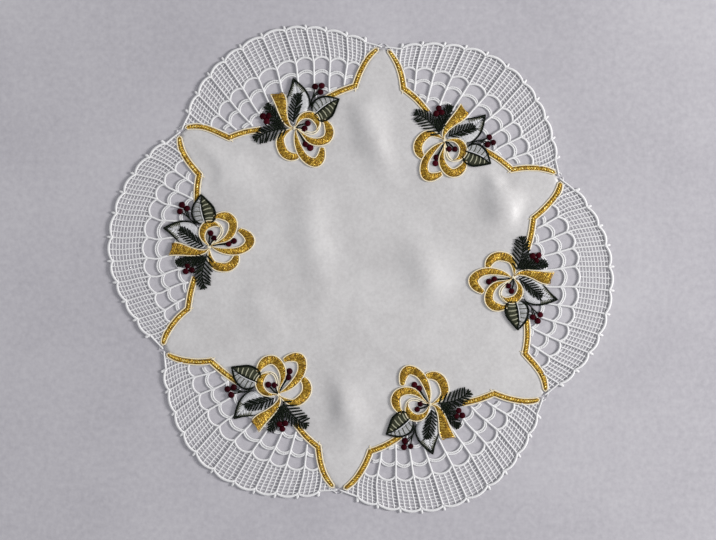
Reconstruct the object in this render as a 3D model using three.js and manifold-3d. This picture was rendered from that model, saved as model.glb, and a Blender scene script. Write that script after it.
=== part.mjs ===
// Round lace table doily lying flat: a six-pointed satin star in the middle,
// six scalloped lace fans set into the bays of the star, a gold ribbon border
// along every seam, and six embroidered sprays (bow, leaves, fir twigs and
// berries) laid over the seam in the middle of each fan.
//
// Millimetres, +Z up. The cloth lies on Z = 0. The design is laid out in a
// six-fold polar frame and then shifted a little by lay(), because the real
// cloth lies uneven: no two fans have quite the same reach.

import * as THREE from "three";
import { mergeVertices } from "three/addons/utils/BufferGeometryUtils.js";
import Module from "manifold-3d";

const wasm = await Module();
wasm.setup();

// ---------------------------------------------------------------- sizes
const FANS = 6;
const FAN_STEP = 360 / FANS;
const FIRST_AXIS = 53.9;        // bearing of fan 0's middle, degrees
const HALF_FAN = 30;            // from a fan's middle to its star tip

const CLOTH_THICK = 1.2;        // satin, lace and gold border
const GAP = 0.37;               // between neighbours that are sewn together
const SPRAY_LIFT = CLOTH_THICK + 0.34;
const SPRAY_THICK = 1.4;

const TIP_REACH = 152.0;        // star tip from the centre
const EDGE_RISE = 21.0;         // scalloped edge above the tips, mid fan
const EDGE_POWER = 1.1;
const TIP_LIFT = 3.1;           // the edge cord passes outside the border's end
const EDGE_DIP = 2.6;           // how far the edge drops at each spoke
const PICOT = 1.7;              // little thread loop at each spoke

const TIP_NECK = 1.0;           // width of a fan's lace where it ends at a tip
const BAND_HALF = 2.3;          // gold border, half width
const BAND_TIP_SHARE = 0.6;     // the border narrows to this at the star tip
const BAND_END = 9.0;           // the border ends under the spray, degrees
const BAND_START_CUT = 2.8;     // the border stops short of the star tip
const RIM = 1.5;                // lace kept between a window and a seam
const SPOKE_HALF = 0.75;        // half width of a radial spoke
const ARCH_HALF = 0.95;         // half width of an arched row
const MIN_WINDOW = 18;          // smaller leftovers stay closed, mm2

// Where the cloth's own centre lies in the part's frame.
const CENTRE = { x: 1.73, y: 3.55 };

// Spokes of a fan, degrees to one side of its middle.
const SPOKES = [0, 5.5, 10.5, 15.3, 20.4, 25.2];

// Arched rows inside a fan: reach at the middle, how much it falls off by
// `at` degrees, and how deep each arch dips at its two spokes.
const ROWS = [
  { name: "one", reach: 150.6, fall: 9.0, at: 22.8, dip: 3.4 },
  { name: "two", reach: 141.0, fall: 5.8, at: 17.9, dip: 3.0 },
  { name: "three", reach: 128.4, fall: 2.1, at: 12.3, dip: 2.4 },
];
const CLOSED_WITHIN = 9;        // degrees of the last row that the spray covers
const LAST_ROW_FLOOR = 116.5;   // the windows under row three reach this low

// Seam between star and fan, one side: from the middle out to the star tip.
const SEAM = [
  { deg: 0, reach: 109.0 },
  { deg: 5, reach: 110.6 },
  { deg: BAND_END, reach: 114.0 },
  { deg: 12.2, reach: 117.4 },
  { deg: 16.5, reach: 122.8 },
  { deg: 21.3, reach: 127.8 },
  { deg: 22.5, reach: 131.6 },
  { deg: 23.9, reach: 137.4 },
  { deg: 25.8, reach: 144.4 },
  { deg: 28.0, reach: 149.4 },
  { deg: HALF_FAN, reach: TIP_REACH },
];

// How the cloth really lies, one row for each fan. Factors on the reach at
// the right cusp, the middle, the left cusp and the left star tip; turns in
// degrees of the same places; and how far the left half of the edge is pulled.
const LAY = [
  { cuspR: 0.966, mid: 0.971, cuspL: 0.987, tip: 0.985, turnR: 0.4, turnM: 0.84, turnL: 0.55, turnTip: 0.78, pullL: -3.2 },
  { cuspR: 0.977, mid: 0.990, cuspL: 1.010, tip: 1.020, turnR: 0.0, turnM: 1.50, turnL: 0.97, turnTip: -0.08, pullL: 0.3 },
  { cuspR: 1.023, mid: 1.010, cuspL: 0.992, tip: 0.983, turnR: -0.5, turnM: -2.1, turnL: -0.92, turnTip: -0.58, pullL: 0.4 },
  { cuspR: 0.991, mid: 1.014, cuspL: 1.033, tip: 1.028, turnR: 0.9, turnM: 1.30, turnL: 0.42, turnTip: -0.08, pullL: -1.5 },
  { cuspR: 1.028, mid: 1.022, cuspL: 1.010, tip: 1.013, turnR: 0.3, turnM: -0.5, turnL: -0.39, turnTip: -0.08, pullL: 0.8 },
  { cuspR: 1.014, mid: 0.990, cuspL: 0.968, tip: 0.971, turnR: -0.9, turnM: -1.0, turnL: -0.70, turnTip: 0.0, pullL: 3.3 },
];
const CUSP_AT = 22.3;           // bearing of the cusp columns above
const INNER_TURN_FROM = 150;    // the turns fade out between these reaches
const INNER_TURN_FULL = 125;
const PULL_FROM = 127;
const PULL_FULL = 160;

// Soft ripples of the satin: centre, bearing of the crest, half length, half
// width and height.
const RIPPLES = [
  { x: 6, y: 89, bearing: -67, long: 26, wide: 9, high: 2.2 },
  { x: -35, y: 19, bearing: -80, long: 34, wide: 10, high: 1.8 },
  { x: 94, y: 48, bearing: -80, long: 20, wide: 9, high: 2.4 },
  { x: 43, y: -5, bearing: -60, long: 18, wide: 9, high: 1.2 },
  { x: -69, y: -34, bearing: -60, long: 18, wide: 10, high: 1.0 },
  { x: -12, y: -99, bearing: -65, long: 16, wide: 9, high: 1.4 },
  { x: -99, y: 72, bearing: -60, long: 18, wide: 9, high: 0.9 },
];
const RIPPLE_CLEAR = { from: 44, to: 56 };  // flat around each spray's knot
const RIPPLE_EDGE = { from: 3, to: 14 };    // and along the seam
// Rings of the satin's facets: share of the way to the edge, and how many
// points of the outline one point of the ring stands for.
const SATIN_RINGS = [
  { share: 0.16, every: 12 },
  { share: 0.31, every: 6 },
  { share: 0.44, every: 4 },
  { share: 0.56, every: 4 },
  { share: 0.68, every: 3 },
  { share: 0.8, every: 3 },
  { share: 0.91, every: 3 },
  { share: 1, every: 1 },
];

// Sprays: the bow's knot from the centre, its bearing, the turn of the whole
// spray against its own bearing line, and its size.
const SPRAYS = [
  { reach: 101.8, bearing: 56.5, turn: -3.2, size: 0.97 },
  { reach: 104.9, bearing: 116.9, turn: -5.1, size: 0.995 },
  { reach: 105.6, bearing: 173.5, turn: 6.1, size: 1.0 },
  { reach: 106.8, bearing: 237.0, turn: -6.1, size: 1.02 },
  { reach: 107.0, bearing: 296.1, turn: -3.6, size: 1.0 },
  { reach: 103.5, bearing: 354.7, turn: 1.4, size: 0.99 },
];

// One spray in its own frame: knot at 0,0, +v outwards, +u clockwise.
// Bow loops are tapered arcs of an ellipse.
const LOOPS = [
  { name: "inner", u: 9.6, v: -2.7, ru: 7.9, rv: 8.2, from: 160, to: -32, wide: 5.2, knotEnd: "from" },
  { name: "right", u: 13.8, v: -5.6, ru: 9.4, rv: 9.1, from: 18, to: -172, wide: 6.6, knotEnd: "to" },
  { name: "long", u: 5.6, v: -15.0, ru: 7.6, rv: 12.0, from: 112, to: 345, wide: 6.8, knotEnd: "from" },
  { name: "left", u: -5.4, v: -9.4, ru: 7.8, rv: 8.9, from: 64, to: 262, wide: 6.4, knotEnd: "from" },
];
const LOOP_STEPS = 7;
// Ribbon tail: along its middle, with half widths.
const TAIL = [
  { u: 0, v: 0, half: 1.4 },
  { u: -2.5, v: 5.5, half: 2.5 },
  { u: -3.0, v: 13, half: 3.1 },
  { u: -2.0, v: 19.5, half: 3.7 },
  { u: -1.0, v: 25.4, half: 4.5 },
];
const TAIL_SLANT = 1.7;         // the tail's cut end rises to the left
// Leaves: base, tip, half width at the widest place.
const LEAVES = [
  { name: "large", u0: 5.0, v0: 3.0, u1: 12.5, v1: 31.0, half: 7.6 },
  { name: "small", u0: 15.0, v0: 1.5, u1: 35.4, v1: 5.4, half: 7.0 },
];
const TWIGS = [
  { name: "side", u0: -2.0, v0: 2.5, u1: -28.6, v1: 2.3, half: 5.2, arch: 1.9 },
  { name: "upper", u0: -3.0, v0: 3.0, u1: -11.2, v1: 23.3, half: 4.4, arch: -0.6 },
];
const TWIG_TEETH = 2;
// Berry clusters: three berries each, with the middles of the berries, and
// the stem that carries the cluster.
const BERRY_R = 1.95;
const STEM_HALF = 0.7;
const CLUSTERS = [
  { name: "right", berries: [{ u: 24.1, v: 20.6 }, { u: 28.6, v: 18.8 }, { u: 26.0, v: 15.4 }], stem: { u0: 13.5, v0: 8.0, u1: 24.0, v1: 17.0 } },
  { name: "left", berries: [{ u: -12.7, v: 14.2 }, { u: -16.9, v: 15.6 }, { u: -15.7, v: 11.9 }], stem: { u0: -8.0, v0: 12.4, u1: -14.0, v1: 13.6 } },
];

// ------------------------------------------------------------ materials
const cloth = (color, roughness, metalness = 0) =>
  new THREE.MeshStandardMaterial({ color, roughness, metalness });
const satinMaterial = () => cloth(0xecebe9, 0.45);
const laceMaterial = () => cloth(0xf2f2f4, 0.8);
const goldMaterial = () => cloth(0xb8871c, 0.4, 0.5);
const sprayMaterial = () => cloth(0x8a7a2e, 0.6, 0.2);

// -------------------------------------------------------------- the lay
const rad = THREE.MathUtils.degToRad;
const ease = (t) => {
  const s = Math.min(1, Math.max(0, t));
  return s * s * (3 - 2 * s);
};

// Turns a place of the even six-fold design into where it really lies.
const scaleStations = [];
const turnStations = [];
LAY.forEach((row, k) => {
  const axis = FAN_STEP * k;
  scaleStations.push([axis - CUSP_AT, row.cuspR], [axis, row.mid], [axis + CUSP_AT, row.cuspL], [axis + HALF_FAN, row.tip]);
  turnStations.push([axis - CUSP_AT, row.turnR], [axis, row.turnM], [axis + CUSP_AT, row.turnL], [axis + HALF_FAN, 0]);
});
function between(stations, deg) {
  const first = stations[0][0];
  const d = ((deg - first) % 360 + 360) % 360 + first;
  for (let i = 0; i < stations.length; i++) {
    const a = stations[i];
    const b = i + 1 < stations.length ? stations[i + 1] : [first + 360, stations[0][1]];
    if (d <= b[0]) return a[1] + (b[1] - a[1]) * ease((d - a[0]) / (b[0] - a[0]));
  }
  return stations[0][1];
}
function lay(reach, deg) {
  const d = ((deg % 360) + 360) % 360;
  const k = Math.round(d / FAN_STEP) % FANS;
  let phi = d - k * FAN_STEP;
  if (phi > HALF_FAN) phi -= 360;
  const near = LAY[k];
  const before = LAY[(k + FANS - 1) % FANS];
  const tipTurn = phi > 0 ? near.turnTip : before.turnTip;
  let turn = tipTurn * ease(Math.abs(phi) / HALF_FAN);
  turn += between(turnStations, d) * ease((INNER_TURN_FROM - reach) / (INNER_TURN_FROM - INNER_TURN_FULL)) * ease(reach / 60);
  const pull = near.pullL * ease((phi - 2) / 16) * ease((HALF_FAN - phi) / 5) * ease((reach - PULL_FROM) / (PULL_FULL - PULL_FROM));
  const r = reach * (1 + (between(scaleStations, d) - 1) * ease(reach / 60)) + pull;
  const a = rad(FIRST_AXIS + d + turn);
  return new THREE.Vector2(r * Math.cos(a), r * Math.sin(a));
}
// The same for a point of the even design given flat in x, y.
function layPoint(x, y) {
  const reach = Math.hypot(x, y);
  const deg = THREE.MathUtils.radToDeg(Math.atan2(y, x)) - FIRST_AXIS;
  return lay(reach, deg);
}
const even = (k, deg, reach) => {
  const a = rad(FIRST_AXIS + FAN_STEP * k + deg);
  return new THREE.Vector2(reach * Math.cos(a), reach * Math.sin(a));
};

// -------------------------------------------------------------- helpers
function prism(points, bottom, height) {
  const geometry = new THREE.ExtrudeGeometry(new THREE.Shape(points), { depth: height, bevelEnabled: false, steps: 1 });
  geometry.translate(0, 0, bottom);
  return geometry;
}
function toSolid(geometry) {
  const bare = geometry.clone();
  bare.deleteAttribute("normal");
  bare.deleteAttribute("uv");
  const merged = mergeVertices(bare, 1e-4);
  return new wasm.Manifold(new wasm.Mesh({
    numProp: 3,
    vertProperties: Float32Array.from(merged.attributes.position.array),
    triVerts: Uint32Array.from(merged.index.array),
  }));
}
const prismSolid = (points, bottom, height) => toSolid(prism(points, bottom, height));
function toGeometry(solid) {
  const mesh = solid.getMesh();
  const geometry = new THREE.BufferGeometry();
  const places = new Float32Array(mesh.numVert * 3);
  for (let i = 0; i < mesh.numVert; i++) {
    for (let j = 0; j < 3; j++) places[3 * i + j] = mesh.vertProperties[mesh.numProp * i + j];
  }
  geometry.setAttribute("position", new THREE.BufferAttribute(places, 3));
  geometry.setIndex(new THREE.BufferAttribute(Uint32Array.from(mesh.triVerts), 1));
  geometry.computeVertexNormals();
  return geometry;
}
function polygonArea(points) {
  let twice = 0;
  points.forEach((p, i) => {
    const q = points[(i + 1) % points.length];
    twice += p.x * q.y - q.x * p.y;
  });
  return twice / 2;
}
// A polyline moved sideways; positive is to the left of its direction.
function beside(points, distance) {
  return points.map((p, i) => {
    const a = points[Math.max(0, i - 1)];
    const b = points[Math.min(points.length - 1, i + 1)];
    const into = p.clone().sub(a);
    const out = b.clone().sub(p);
    if (into.length() === 0) into.copy(out);
    if (out.length() === 0) out.copy(into);
    into.normalize();
    out.normalize();
    const n1 = new THREE.Vector2(-into.y, into.x);
    const n2 = new THREE.Vector2(-out.y, out.x);
    const n = n1.clone().add(n2).normalize();
    const d = distance / Math.max(0.5, n.dot(n1));
    return p.clone().addScaledVector(n, d);
  });
}
// Shift a finished solid from the even design to the real lay.
function layGeometry(geometry, lift = () => 0) {
  const position = geometry.attributes.position;
  for (let i = 0; i < position.count; i++) {
    const p = layPoint(position.getX(i), position.getY(i));
    position.setXYZ(i, p.x + CENTRE.x, p.y + CENTRE.y, position.getZ(i) + lift(p.x, p.y));
  }
  geometry.computeVertexNormals();
  return geometry;
}

const doily = new THREE.Group();
function add(name, geometry, material) {
  const mesh = new THREE.Mesh(geometry, material);
  mesh.name = name;
  doily.add(mesh);
  return mesh;
}

// ----------------------------------------------------------------- seam
// One side of the seam from the fan's middle to the star tip, as points of
// the even design. side is +1 for the left half of the fan and -1 for the
// right; offset moves it outwards over the lace.
function seamSide(k, side, fromDeg, offset) {
  const places = SEAM.filter((s) => s.deg >= fromDeg).map((s) => even(k, side * s.deg, s.reach));
  return beside(places, -side * offset);
}
// Full inner edge of a fan (or outer edge of the star) from the right tip to
// the left tip: wide apart where the border lies, close together under the
// spray where there is no border.
function seamEdge(k, outwards) {
  const wide = outwards * (BAND_HALF + GAP);
  const slim = outwards * (GAP / 2);
  const half = (side) => {
    const all = SEAM.map((s) => even(k, side * s.deg, s.reach));
    const broad = beside(all, -side * wide);
    const narrow = beside(all, -side * slim);
    const stepAt = SEAM.findIndex((s) => s.deg === BAND_END);
    return [...narrow.slice(1, stepAt + 1), ...broad.slice(stepAt)];
  };
  const middle = even(k, 0, SEAM[0].reach + slim);
  return [...half(-1).reverse(), middle, ...half(1)];
}

// ----------------------------------------------------------- satin star
const knots = SPRAYS.map((s) => new THREE.Vector2(s.reach * Math.cos(rad(s.bearing)), s.reach * Math.sin(rad(s.bearing))));
function ripple(x, y, edge) {
  let high = 0;
  for (const r of RIPPLES) {
    const c = Math.cos(rad(r.bearing));
    const s = Math.sin(rad(r.bearing));
    const along = (x - r.x) * c + (y - r.y) * s;
    const across = -(x - r.x) * s + (y - r.y) * c;
    high += r.high * Math.exp(-((along / r.long) ** 2) - (across / r.wide) ** 2);
  }
  let keep = ease((edge - RIPPLE_EDGE.from) / (RIPPLE_EDGE.to - RIPPLE_EDGE.from));
  for (const k of knots) {
    const d = Math.hypot(x - k.x, y - k.y);
    keep *= ease((d - RIPPLE_CLEAR.from) / (RIPPLE_CLEAR.to - RIPPLE_CLEAR.from));
  }
  return high * keep;
}
function starOutline() {
  const points = [];
  for (let k = 0; k < FANS; k++) {
    const edge = seamEdge(k, -1);
    // both neighbours reach the same tip, so each fan gives all but its ends
    const tip = even(k, -HALF_FAN, TIP_REACH - (BAND_HALF + GAP) * 1.22);
    points.push(tip, ...edge.slice(1, -1));
  }
  return points;
}
function satin() {
  const outline = starOutline();
  const n = outline.length;
  const laid = outline.map((p) => layPoint(p.x, p.y));
  const edgeGap = (x, y) => {
    let best = Infinity;
    for (let i = 0; i < n; i++) {
      const a = laid[i];
      const b = laid[(i + 1) % n];
      const t = Math.min(1, Math.max(0, ((x - a.x) * (b.x - a.x) + (y - a.y) * (b.y - a.y)) / a.distanceToSquared(b)));
      best = Math.min(best, Math.hypot(x - a.x - t * (b.x - a.x), y - a.y - t * (b.y - a.y)));
    }
    return best;
  };
  const places = [];
  const starts = [];
  for (const z of [0, CLOTH_THICK]) {
    places.push(CENTRE.x, CENTRE.y, z + ripple(0, 0, 100));
    for (const ring of SATIN_RINGS) {
      if (z === 0) starts.push(places.length / 3);
      for (let i = 0; i < n; i += ring.every) {
        const q = layPoint(outline[i].x * ring.share, outline[i].y * ring.share);
        places.push(q.x + CENTRE.x, q.y + CENTRE.y, z + (ring.share === 1 ? 0 : ripple(q.x, q.y, edgeGap(q.x, q.y))));
      }
    }
  }
  const perLevel = places.length / 6;
  const index = [];
  for (let side = 0; side < 2; side++) {
    const base = side * perLevel;
    const tri = (a, b, c) => (side ? index.push(base + a, base + b, base + c) : index.push(base + a, base + c, base + b));
    const first = n / SATIN_RINGS[0].every;
    for (let i = 0; i < first; i++) tri(0, starts[0] + i, starts[0] + ((i + 1) % first));
    for (let r = 0; r + 1 < SATIN_RINGS.length; r++) {
      const na = n / SATIN_RINGS[r].every;
      const nb = n / SATIN_RINGS[r + 1].every;
      let i = 0;
      let j = 0;
      while (i < na || j < nb) {
        const a = starts[r] + (i % na);
        const b = starts[r + 1] + (j % nb);
        if (j < nb && (i >= na || (j + 0.5) / nb <= (i + 0.5) / na)) {
          tri(a, b, starts[r + 1] + ((j + 1) % nb));
          j++;
        } else {
          tri(a, b, starts[r] + ((i + 1) % na));
          i++;
        }
      }
    }
  }
  const rim = starts[starts.length - 1];
  for (let i = 0; i < n; i++) {
    const j = (i + 1) % n;
    index.push(rim + i, rim + j, perLevel + rim + j, rim + i, perLevel + rim + j, perLevel + rim + i);
  }
  const geometry = new THREE.BufferGeometry();
  geometry.setAttribute("position", new THREE.BufferAttribute(new Float32Array(places), 3));
  geometry.setIndex(index);
  geometry.computeVertexNormals();
  return geometry;
}
add("centre_cloth", satin(), satinMaterial());

// ------------------------------------------------------------ lace fans
const spokes = [...SPOKES.slice(1).reverse().map((d) => -d), ...SPOKES];
const edgeCrown = (deg) => {
  const share = Math.min(1, Math.abs(deg) / HALF_FAN);
  return TIP_REACH + 0.6 + EDGE_RISE * Math.cos((Math.PI / 2) * share) ** EDGE_POWER + TIP_LIFT * share ** 12;
};
const rowCrown = (row, deg) => row.reach - row.fall * (deg / row.at) ** 2;
const arch = (t) => 4 * t * (1 - t);

function fanOutline(k) {
  const points = [];
  const stops = [-HALF_FAN, ...spokes, HALF_FAN];
  for (let i = 0; i + 1 < stops.length; i++) {
    const a = stops[i];
    const b = stops[i + 1];
    const first = i === 0;
    const last = i + 2 === stops.length;
    for (const t of first || last ? [0.3, 0.65] : [0.3, 0.7]) {
      const s = last ? 1 - t : t;
      const deg = first || last ? (last ? b - (b - a) * s : a + (b - a) * s) : a + (b - a) * t;
      const dip = first || last ? 0.5 * t * t : 1 - arch(t);
      points.push({ deg, reach: edgeCrown(deg) - EDGE_DIP * dip });
    }
    if (!last) {
      const foot = edgeCrown(b) - EDGE_DIP;
      points.push({ deg: b, reach: foot + PICOT });
    }
  }
  points.sort((p, q) => p.deg - q.deg);
  const outer = points.map((p) => even(k, p.deg, p.reach));
  const tipDeg = HALF_FAN - 0.28;
  const tipR = even(k, -tipDeg, edgeCrown(tipDeg));
  const tipL = even(k, tipDeg, edgeCrown(tipDeg));
  // inner edge: right tip to left tip, round the ends of the gold border
  const inner = seamEdge(k, 1);
  inner[0] = even(k, -tipDeg, edgeCrown(tipDeg) - TIP_NECK);
  inner[inner.length - 1] = even(k, tipDeg, edgeCrown(tipDeg) - TIP_NECK);
  return { outer: [tipR, ...outer, tipL], inner };
}

// One window between two spokes and two rows, arched at the top and bottom.
function windowOutline(k, a, b, top, floorReach) {
  const middle = (a + b) / 2;
  const points = [];
  const high = (t) => rowCrown(top, a + (b - a) * t) - top.dip * (1 - arch(t)) - ARCH_HALF;
  const low = (t) => floorReach(a + (b - a) * t, t) + ARCH_HALF;
  if ([0, 0.3, 0.5, 0.7, 1].some((t) => high(t) - low(t) < 1.5)) return null;
  const narrow = (deg, reach) => {
    const shift = THREE.MathUtils.radToDeg(SPOKE_HALF / reach);
    return deg < middle ? deg + shift : deg - shift;
  };
  for (const t of [0, 0.5, 1]) {
    const reach = high(t);
    const deg = a + (b - a) * t;
    points.push(even(k, t === 0 || t === 1 ? narrow(deg, reach) : deg, reach));
  }
  for (const t of [1, 0.5, 0]) {
    const reach = low(t);
    const deg = a + (b - a) * t;
    points.push(even(k, t === 0 || t === 1 ? narrow(deg, reach) : deg, reach));
  }
  return points;
}

const windowPlan = [];
for (let i = 0; i + 1 < spokes.length; i++) {
  ROWS.forEach((row, r) => {
    // under the spray the last row is closed
    const middle = Math.abs(spokes[i] + spokes[i + 1]) / 2;
    if (r < 2 || middle > CLOSED_WITHIN) windowPlan.push({ a: spokes[i], b: spokes[i + 1], row: r });
  });
}

function laceFan(k) {
  const { outer, inner } = fanOutline(k);
  const outline = [...outer, ...inner.slice().reverse()];
  if (polygonArea(outline) < 0) outline.reverse();
  let solid = prismSolid(outline, 0, CLOTH_THICK);

  // windows keep a rim along the seam
  const seam = SEAM.map((s) => s);
  const rimLine = (side) => beside(seam.map((s) => even(k, side * s.deg, s.reach)), -side * (BAND_HALF + GAP + RIM));
  const allowed = [...rimLine(-1).slice(1).reverse(), even(k, 0, SEAM[0].reach + BAND_HALF + GAP + RIM), ...rimLine(1).slice(1)];
  const roof = [even(k, HALF_FAN, 200), even(k, 0, 230), even(k, -HALF_FAN, 200)];
  const zone = [...allowed, ...roof];
  if (polygonArea(zone) < 0) zone.reverse();
  const zoneSolid = prismSolid(zone, -1, CLOTH_THICK + 2);

  for (const w of windowPlan) {
    const row = ROWS[w.row];
    const next = ROWS[w.row + 1];
    const floor = next
      ? (deg, t) => rowCrown(next, deg) - next.dip * (1 - arch(t))
      : () => LAST_ROW_FLOOR;
    const points = windowOutline(k, w.a, w.b, row, floor);
    if (!points) continue;
    if (polygonArea(points) < 0) points.reverse();
    const hole = prismSolid(points, -1, CLOTH_THICK + 2).intersect(zoneSolid);
    if (hole.isEmpty() || hole.volume() / (CLOTH_THICK + 2) < MIN_WINDOW) continue;
    solid = solid.subtract(hole);
  }
  return layGeometry(toGeometry(solid));
}
for (let k = 0; k < FANS; k++) add(`lace_fan_${k + 1}`, laceFan(k), laceMaterial());

// ---------------------------------------------------------- gold border
function band(k, side) {
  const places = SEAM.filter((s) => s.deg >= BAND_END).map((s) => even(k, side * s.deg, s.reach));
  // stop short of the tip
  const last = places[places.length - 1];
  const before = places[places.length - 2];
  last.sub(last.clone().sub(before).normalize().multiplyScalar(BAND_START_CUT));
  const first = places[0];
  first.add(places[1].clone().sub(first).normalize().multiplyScalar(2 * GAP));
  const sides = [beside(places, BAND_HALF), beside(places, -BAND_HALF)];
  for (const line of sides) line[line.length - 1].lerp(last, 1 - BAND_TIP_SHARE);
  const outline = [...sides[0], ...sides[1].reverse()];
  if (polygonArea(outline) < 0) outline.reverse();
  return layGeometry(toGeometry(prismSolid(outline, 0, CLOTH_THICK)));
}
for (let k = 0; k < FANS; k++) {
  add(`gold_border_${k + 1}_left`, band(k, 1), goldMaterial());
  add(`gold_border_${k + 1}_right`, band(k, -1), goldMaterial());
}

// --------------------------------------------------------------- sprays
const uv = (u, v) => new THREE.Vector2(u, v);
function loopOutline(loop) {
  const left = [];
  const right = [];
  const middle = [];
  for (let i = 0; i <= LOOP_STEPS; i++) {
    const t = i / LOOP_STEPS;
    const a = rad(loop.from + (loop.to - loop.from) * t);
    const p = uv(loop.u + loop.ru * Math.cos(a), loop.v + loop.rv * Math.sin(a));
    const toKnot = loop.knotEnd === "from" ? t : 1 - t;
    p.multiplyScalar(ease(toKnot / 0.16));
    middle.push({ p, t, toKnot });
  }
  middle.forEach(({ p, toKnot }, i) => {
    const a = middle[Math.max(0, i - 1)].p;
    const b = middle[Math.min(LOOP_STEPS, i + 1)].p;
    const d = b.clone().sub(a).normalize();
    const half = (loop.wide / 2) * (0.3 + 0.7 * ease(toKnot / 0.55)) * (1 - 0.35 * ease((toKnot - 0.75) / 0.25));
    left.push(p.clone().add(uv(-d.y, d.x).multiplyScalar(half)));
    right.push(p.clone().add(uv(d.y, -d.x).multiplyScalar(half)));
  });
  return [...left, ...right.reverse()];
}
function tailOutline() {
  const middle = TAIL.map((t) => uv(t.u, t.v));
  const left = [];
  const right = [];
  middle.forEach((p, i) => {
    const a = middle[Math.max(0, i - 1)];
    const b = middle[Math.min(middle.length - 1, i + 1)];
    const d = b.clone().sub(a).normalize();
    const end = i === middle.length - 1 ? TAIL_SLANT : 0;
    left.push(p.clone().add(uv(-d.y, d.x).multiplyScalar(TAIL[i].half)).add(uv(0, end)));
    right.push(p.clone().add(uv(d.y, -d.x).multiplyScalar(TAIL[i].half)).add(uv(0, -end)));
  });
  return [...left, ...right.reverse()];
}
function leafOutline(leaf, steps = 4) {
  const base = uv(leaf.u0, leaf.v0);
  const axis = uv(leaf.u1 - leaf.u0, leaf.v1 - leaf.v0);
  const across = uv(-axis.y, axis.x).normalize();
  const side = (s) => {
    const points = [];
    for (let i = 1; i < steps; i++) {
      const t = i / steps;
      const half = leaf.half * Math.sin(Math.PI * t ** 0.82) ** 0.85;
      points.push(base.clone().addScaledVector(axis, t).addScaledVector(across, s * half));
    }
    return points;
  };
  return [base, ...side(-1), uv(leaf.u1, leaf.v1), ...side(1).reverse()];
}
function twigOutline(twig) {
  const base = uv(twig.u0, twig.v0);
  const axis = uv(twig.u1 - twig.u0, twig.v1 - twig.v0);
  const across = uv(-axis.y, axis.x).normalize();
  const at = (t, s, half) =>
    base.clone().addScaledVector(axis, t).addScaledVector(across, s * half - 4 * twig.arch * t * (1 - t));
  const side = (s) => {
    const points = [];
    for (let i = 0; i < TWIG_TEETH; i++) {
      const t = (i + 0.35) / TWIG_TEETH;
      const half = twig.half * (0.55 + 0.45 * Math.sin(Math.PI * (t * 0.8 + 0.1)));
      points.push(at(t, s, half * 0.72), at(t + 0.55 / TWIG_TEETH, s, half));
    }
    return points;
  };
  return [at(0, 1, 0), ...side(-1), at(1.02, 0, 0), ...side(1).reverse()];
}
function stemOutline(stem) {
  const a = uv(stem.u0, stem.v0);
  const b = uv(stem.u1, stem.v1);
  const d = b.clone().sub(a).normalize();
  const n = uv(-d.y, d.x).multiplyScalar(STEM_HALF);
  return [a.clone().sub(n), b.clone().sub(n), b.clone().add(n), a.clone().add(n)];
}
function clusterOutline(cluster) {
  const middle = uv(0, 0);
  for (const berry of cluster.berries) middle.add(uv(berry.u, berry.v).divideScalar(cluster.berries.length));
  const points = [];
  for (const berry of cluster.berries) {
    const out = Math.atan2(berry.v - middle.y, berry.u - middle.x);
    for (const turn of [-0.8, 0.8]) {
      points.push({ bearing: out + turn * 0.5, p: uv(berry.u + BERRY_R * Math.cos(out + turn), berry.v + BERRY_R * Math.sin(out + turn)) });
    }
  }
  points.sort((a, b) => a.bearing - b.bearing);
  return points.map((q) => q.p);
}
function sprayGeometry(place) {
  const shapes = [
    ...LOOPS.map(loopOutline), tailOutline(), ...LEAVES.map((l) => leafOutline(l)),
    ...TWIGS.map(twigOutline), ...CLUSTERS.map((c) => stemOutline(c.stem)), ...CLUSTERS.map(clusterOutline),
  ];
  let solid = null;
  for (const points of shapes) {
    const outline = points.slice();
    if (polygonArea(outline) < 0) outline.reverse();
    const piece = prismSolid(outline, SPRAY_LIFT, SPRAY_THICK);
    solid = solid ? solid.add(piece) : piece;
  }
  const geometry = toGeometry(solid);
  // +v points outwards along the bearing, +u is clockwise of it
  const outwards = rad(place.bearing + place.turn);
  const position = geometry.attributes.position;
  const knot = uv(place.reach * Math.cos(rad(place.bearing)), place.reach * Math.sin(rad(place.bearing)));
  for (let i = 0; i < position.count; i++) {
    const u = position.getX(i) * place.size;
    const v = position.getY(i) * place.size;
    position.setXYZ(
      i,
      CENTRE.x + knot.x + v * Math.cos(outwards) + u * Math.sin(outwards),
      CENTRE.y + knot.y + v * Math.sin(outwards) - u * Math.cos(outwards),
      position.getZ(i),
    );
  }
  geometry.computeVertexNormals();
  return geometry;
}
SPRAYS.forEach((place, k) => add(`spray_${k + 1}`, sprayGeometry(place), sprayMaterial()));

export default doily;
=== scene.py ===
# Round lace cloth lying flat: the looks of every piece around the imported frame.
#
# Lengths in the tables are millimetres in the same frame as the solids, and
# turn into metres when a mesh is made. The even six-fold design is laid out
# in reach and bearing, then shifted by lay() to where the cloth really lies.

import math

import bpy
import numpy as np
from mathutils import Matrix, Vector
from mathutils.geometry import delaunay_2d_cdt


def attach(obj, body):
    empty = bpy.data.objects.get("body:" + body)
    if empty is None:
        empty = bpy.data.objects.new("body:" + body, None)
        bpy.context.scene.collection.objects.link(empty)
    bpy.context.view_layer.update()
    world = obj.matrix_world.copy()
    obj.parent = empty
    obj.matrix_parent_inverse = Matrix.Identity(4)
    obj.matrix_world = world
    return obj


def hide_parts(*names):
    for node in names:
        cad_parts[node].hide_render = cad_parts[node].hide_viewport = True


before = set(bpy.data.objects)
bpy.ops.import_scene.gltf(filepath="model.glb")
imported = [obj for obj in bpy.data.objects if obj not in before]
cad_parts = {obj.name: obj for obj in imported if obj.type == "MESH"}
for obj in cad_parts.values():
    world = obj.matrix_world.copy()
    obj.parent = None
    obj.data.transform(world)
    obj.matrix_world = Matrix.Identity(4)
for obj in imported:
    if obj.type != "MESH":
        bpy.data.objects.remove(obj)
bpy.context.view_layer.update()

MM = 0.001
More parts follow.
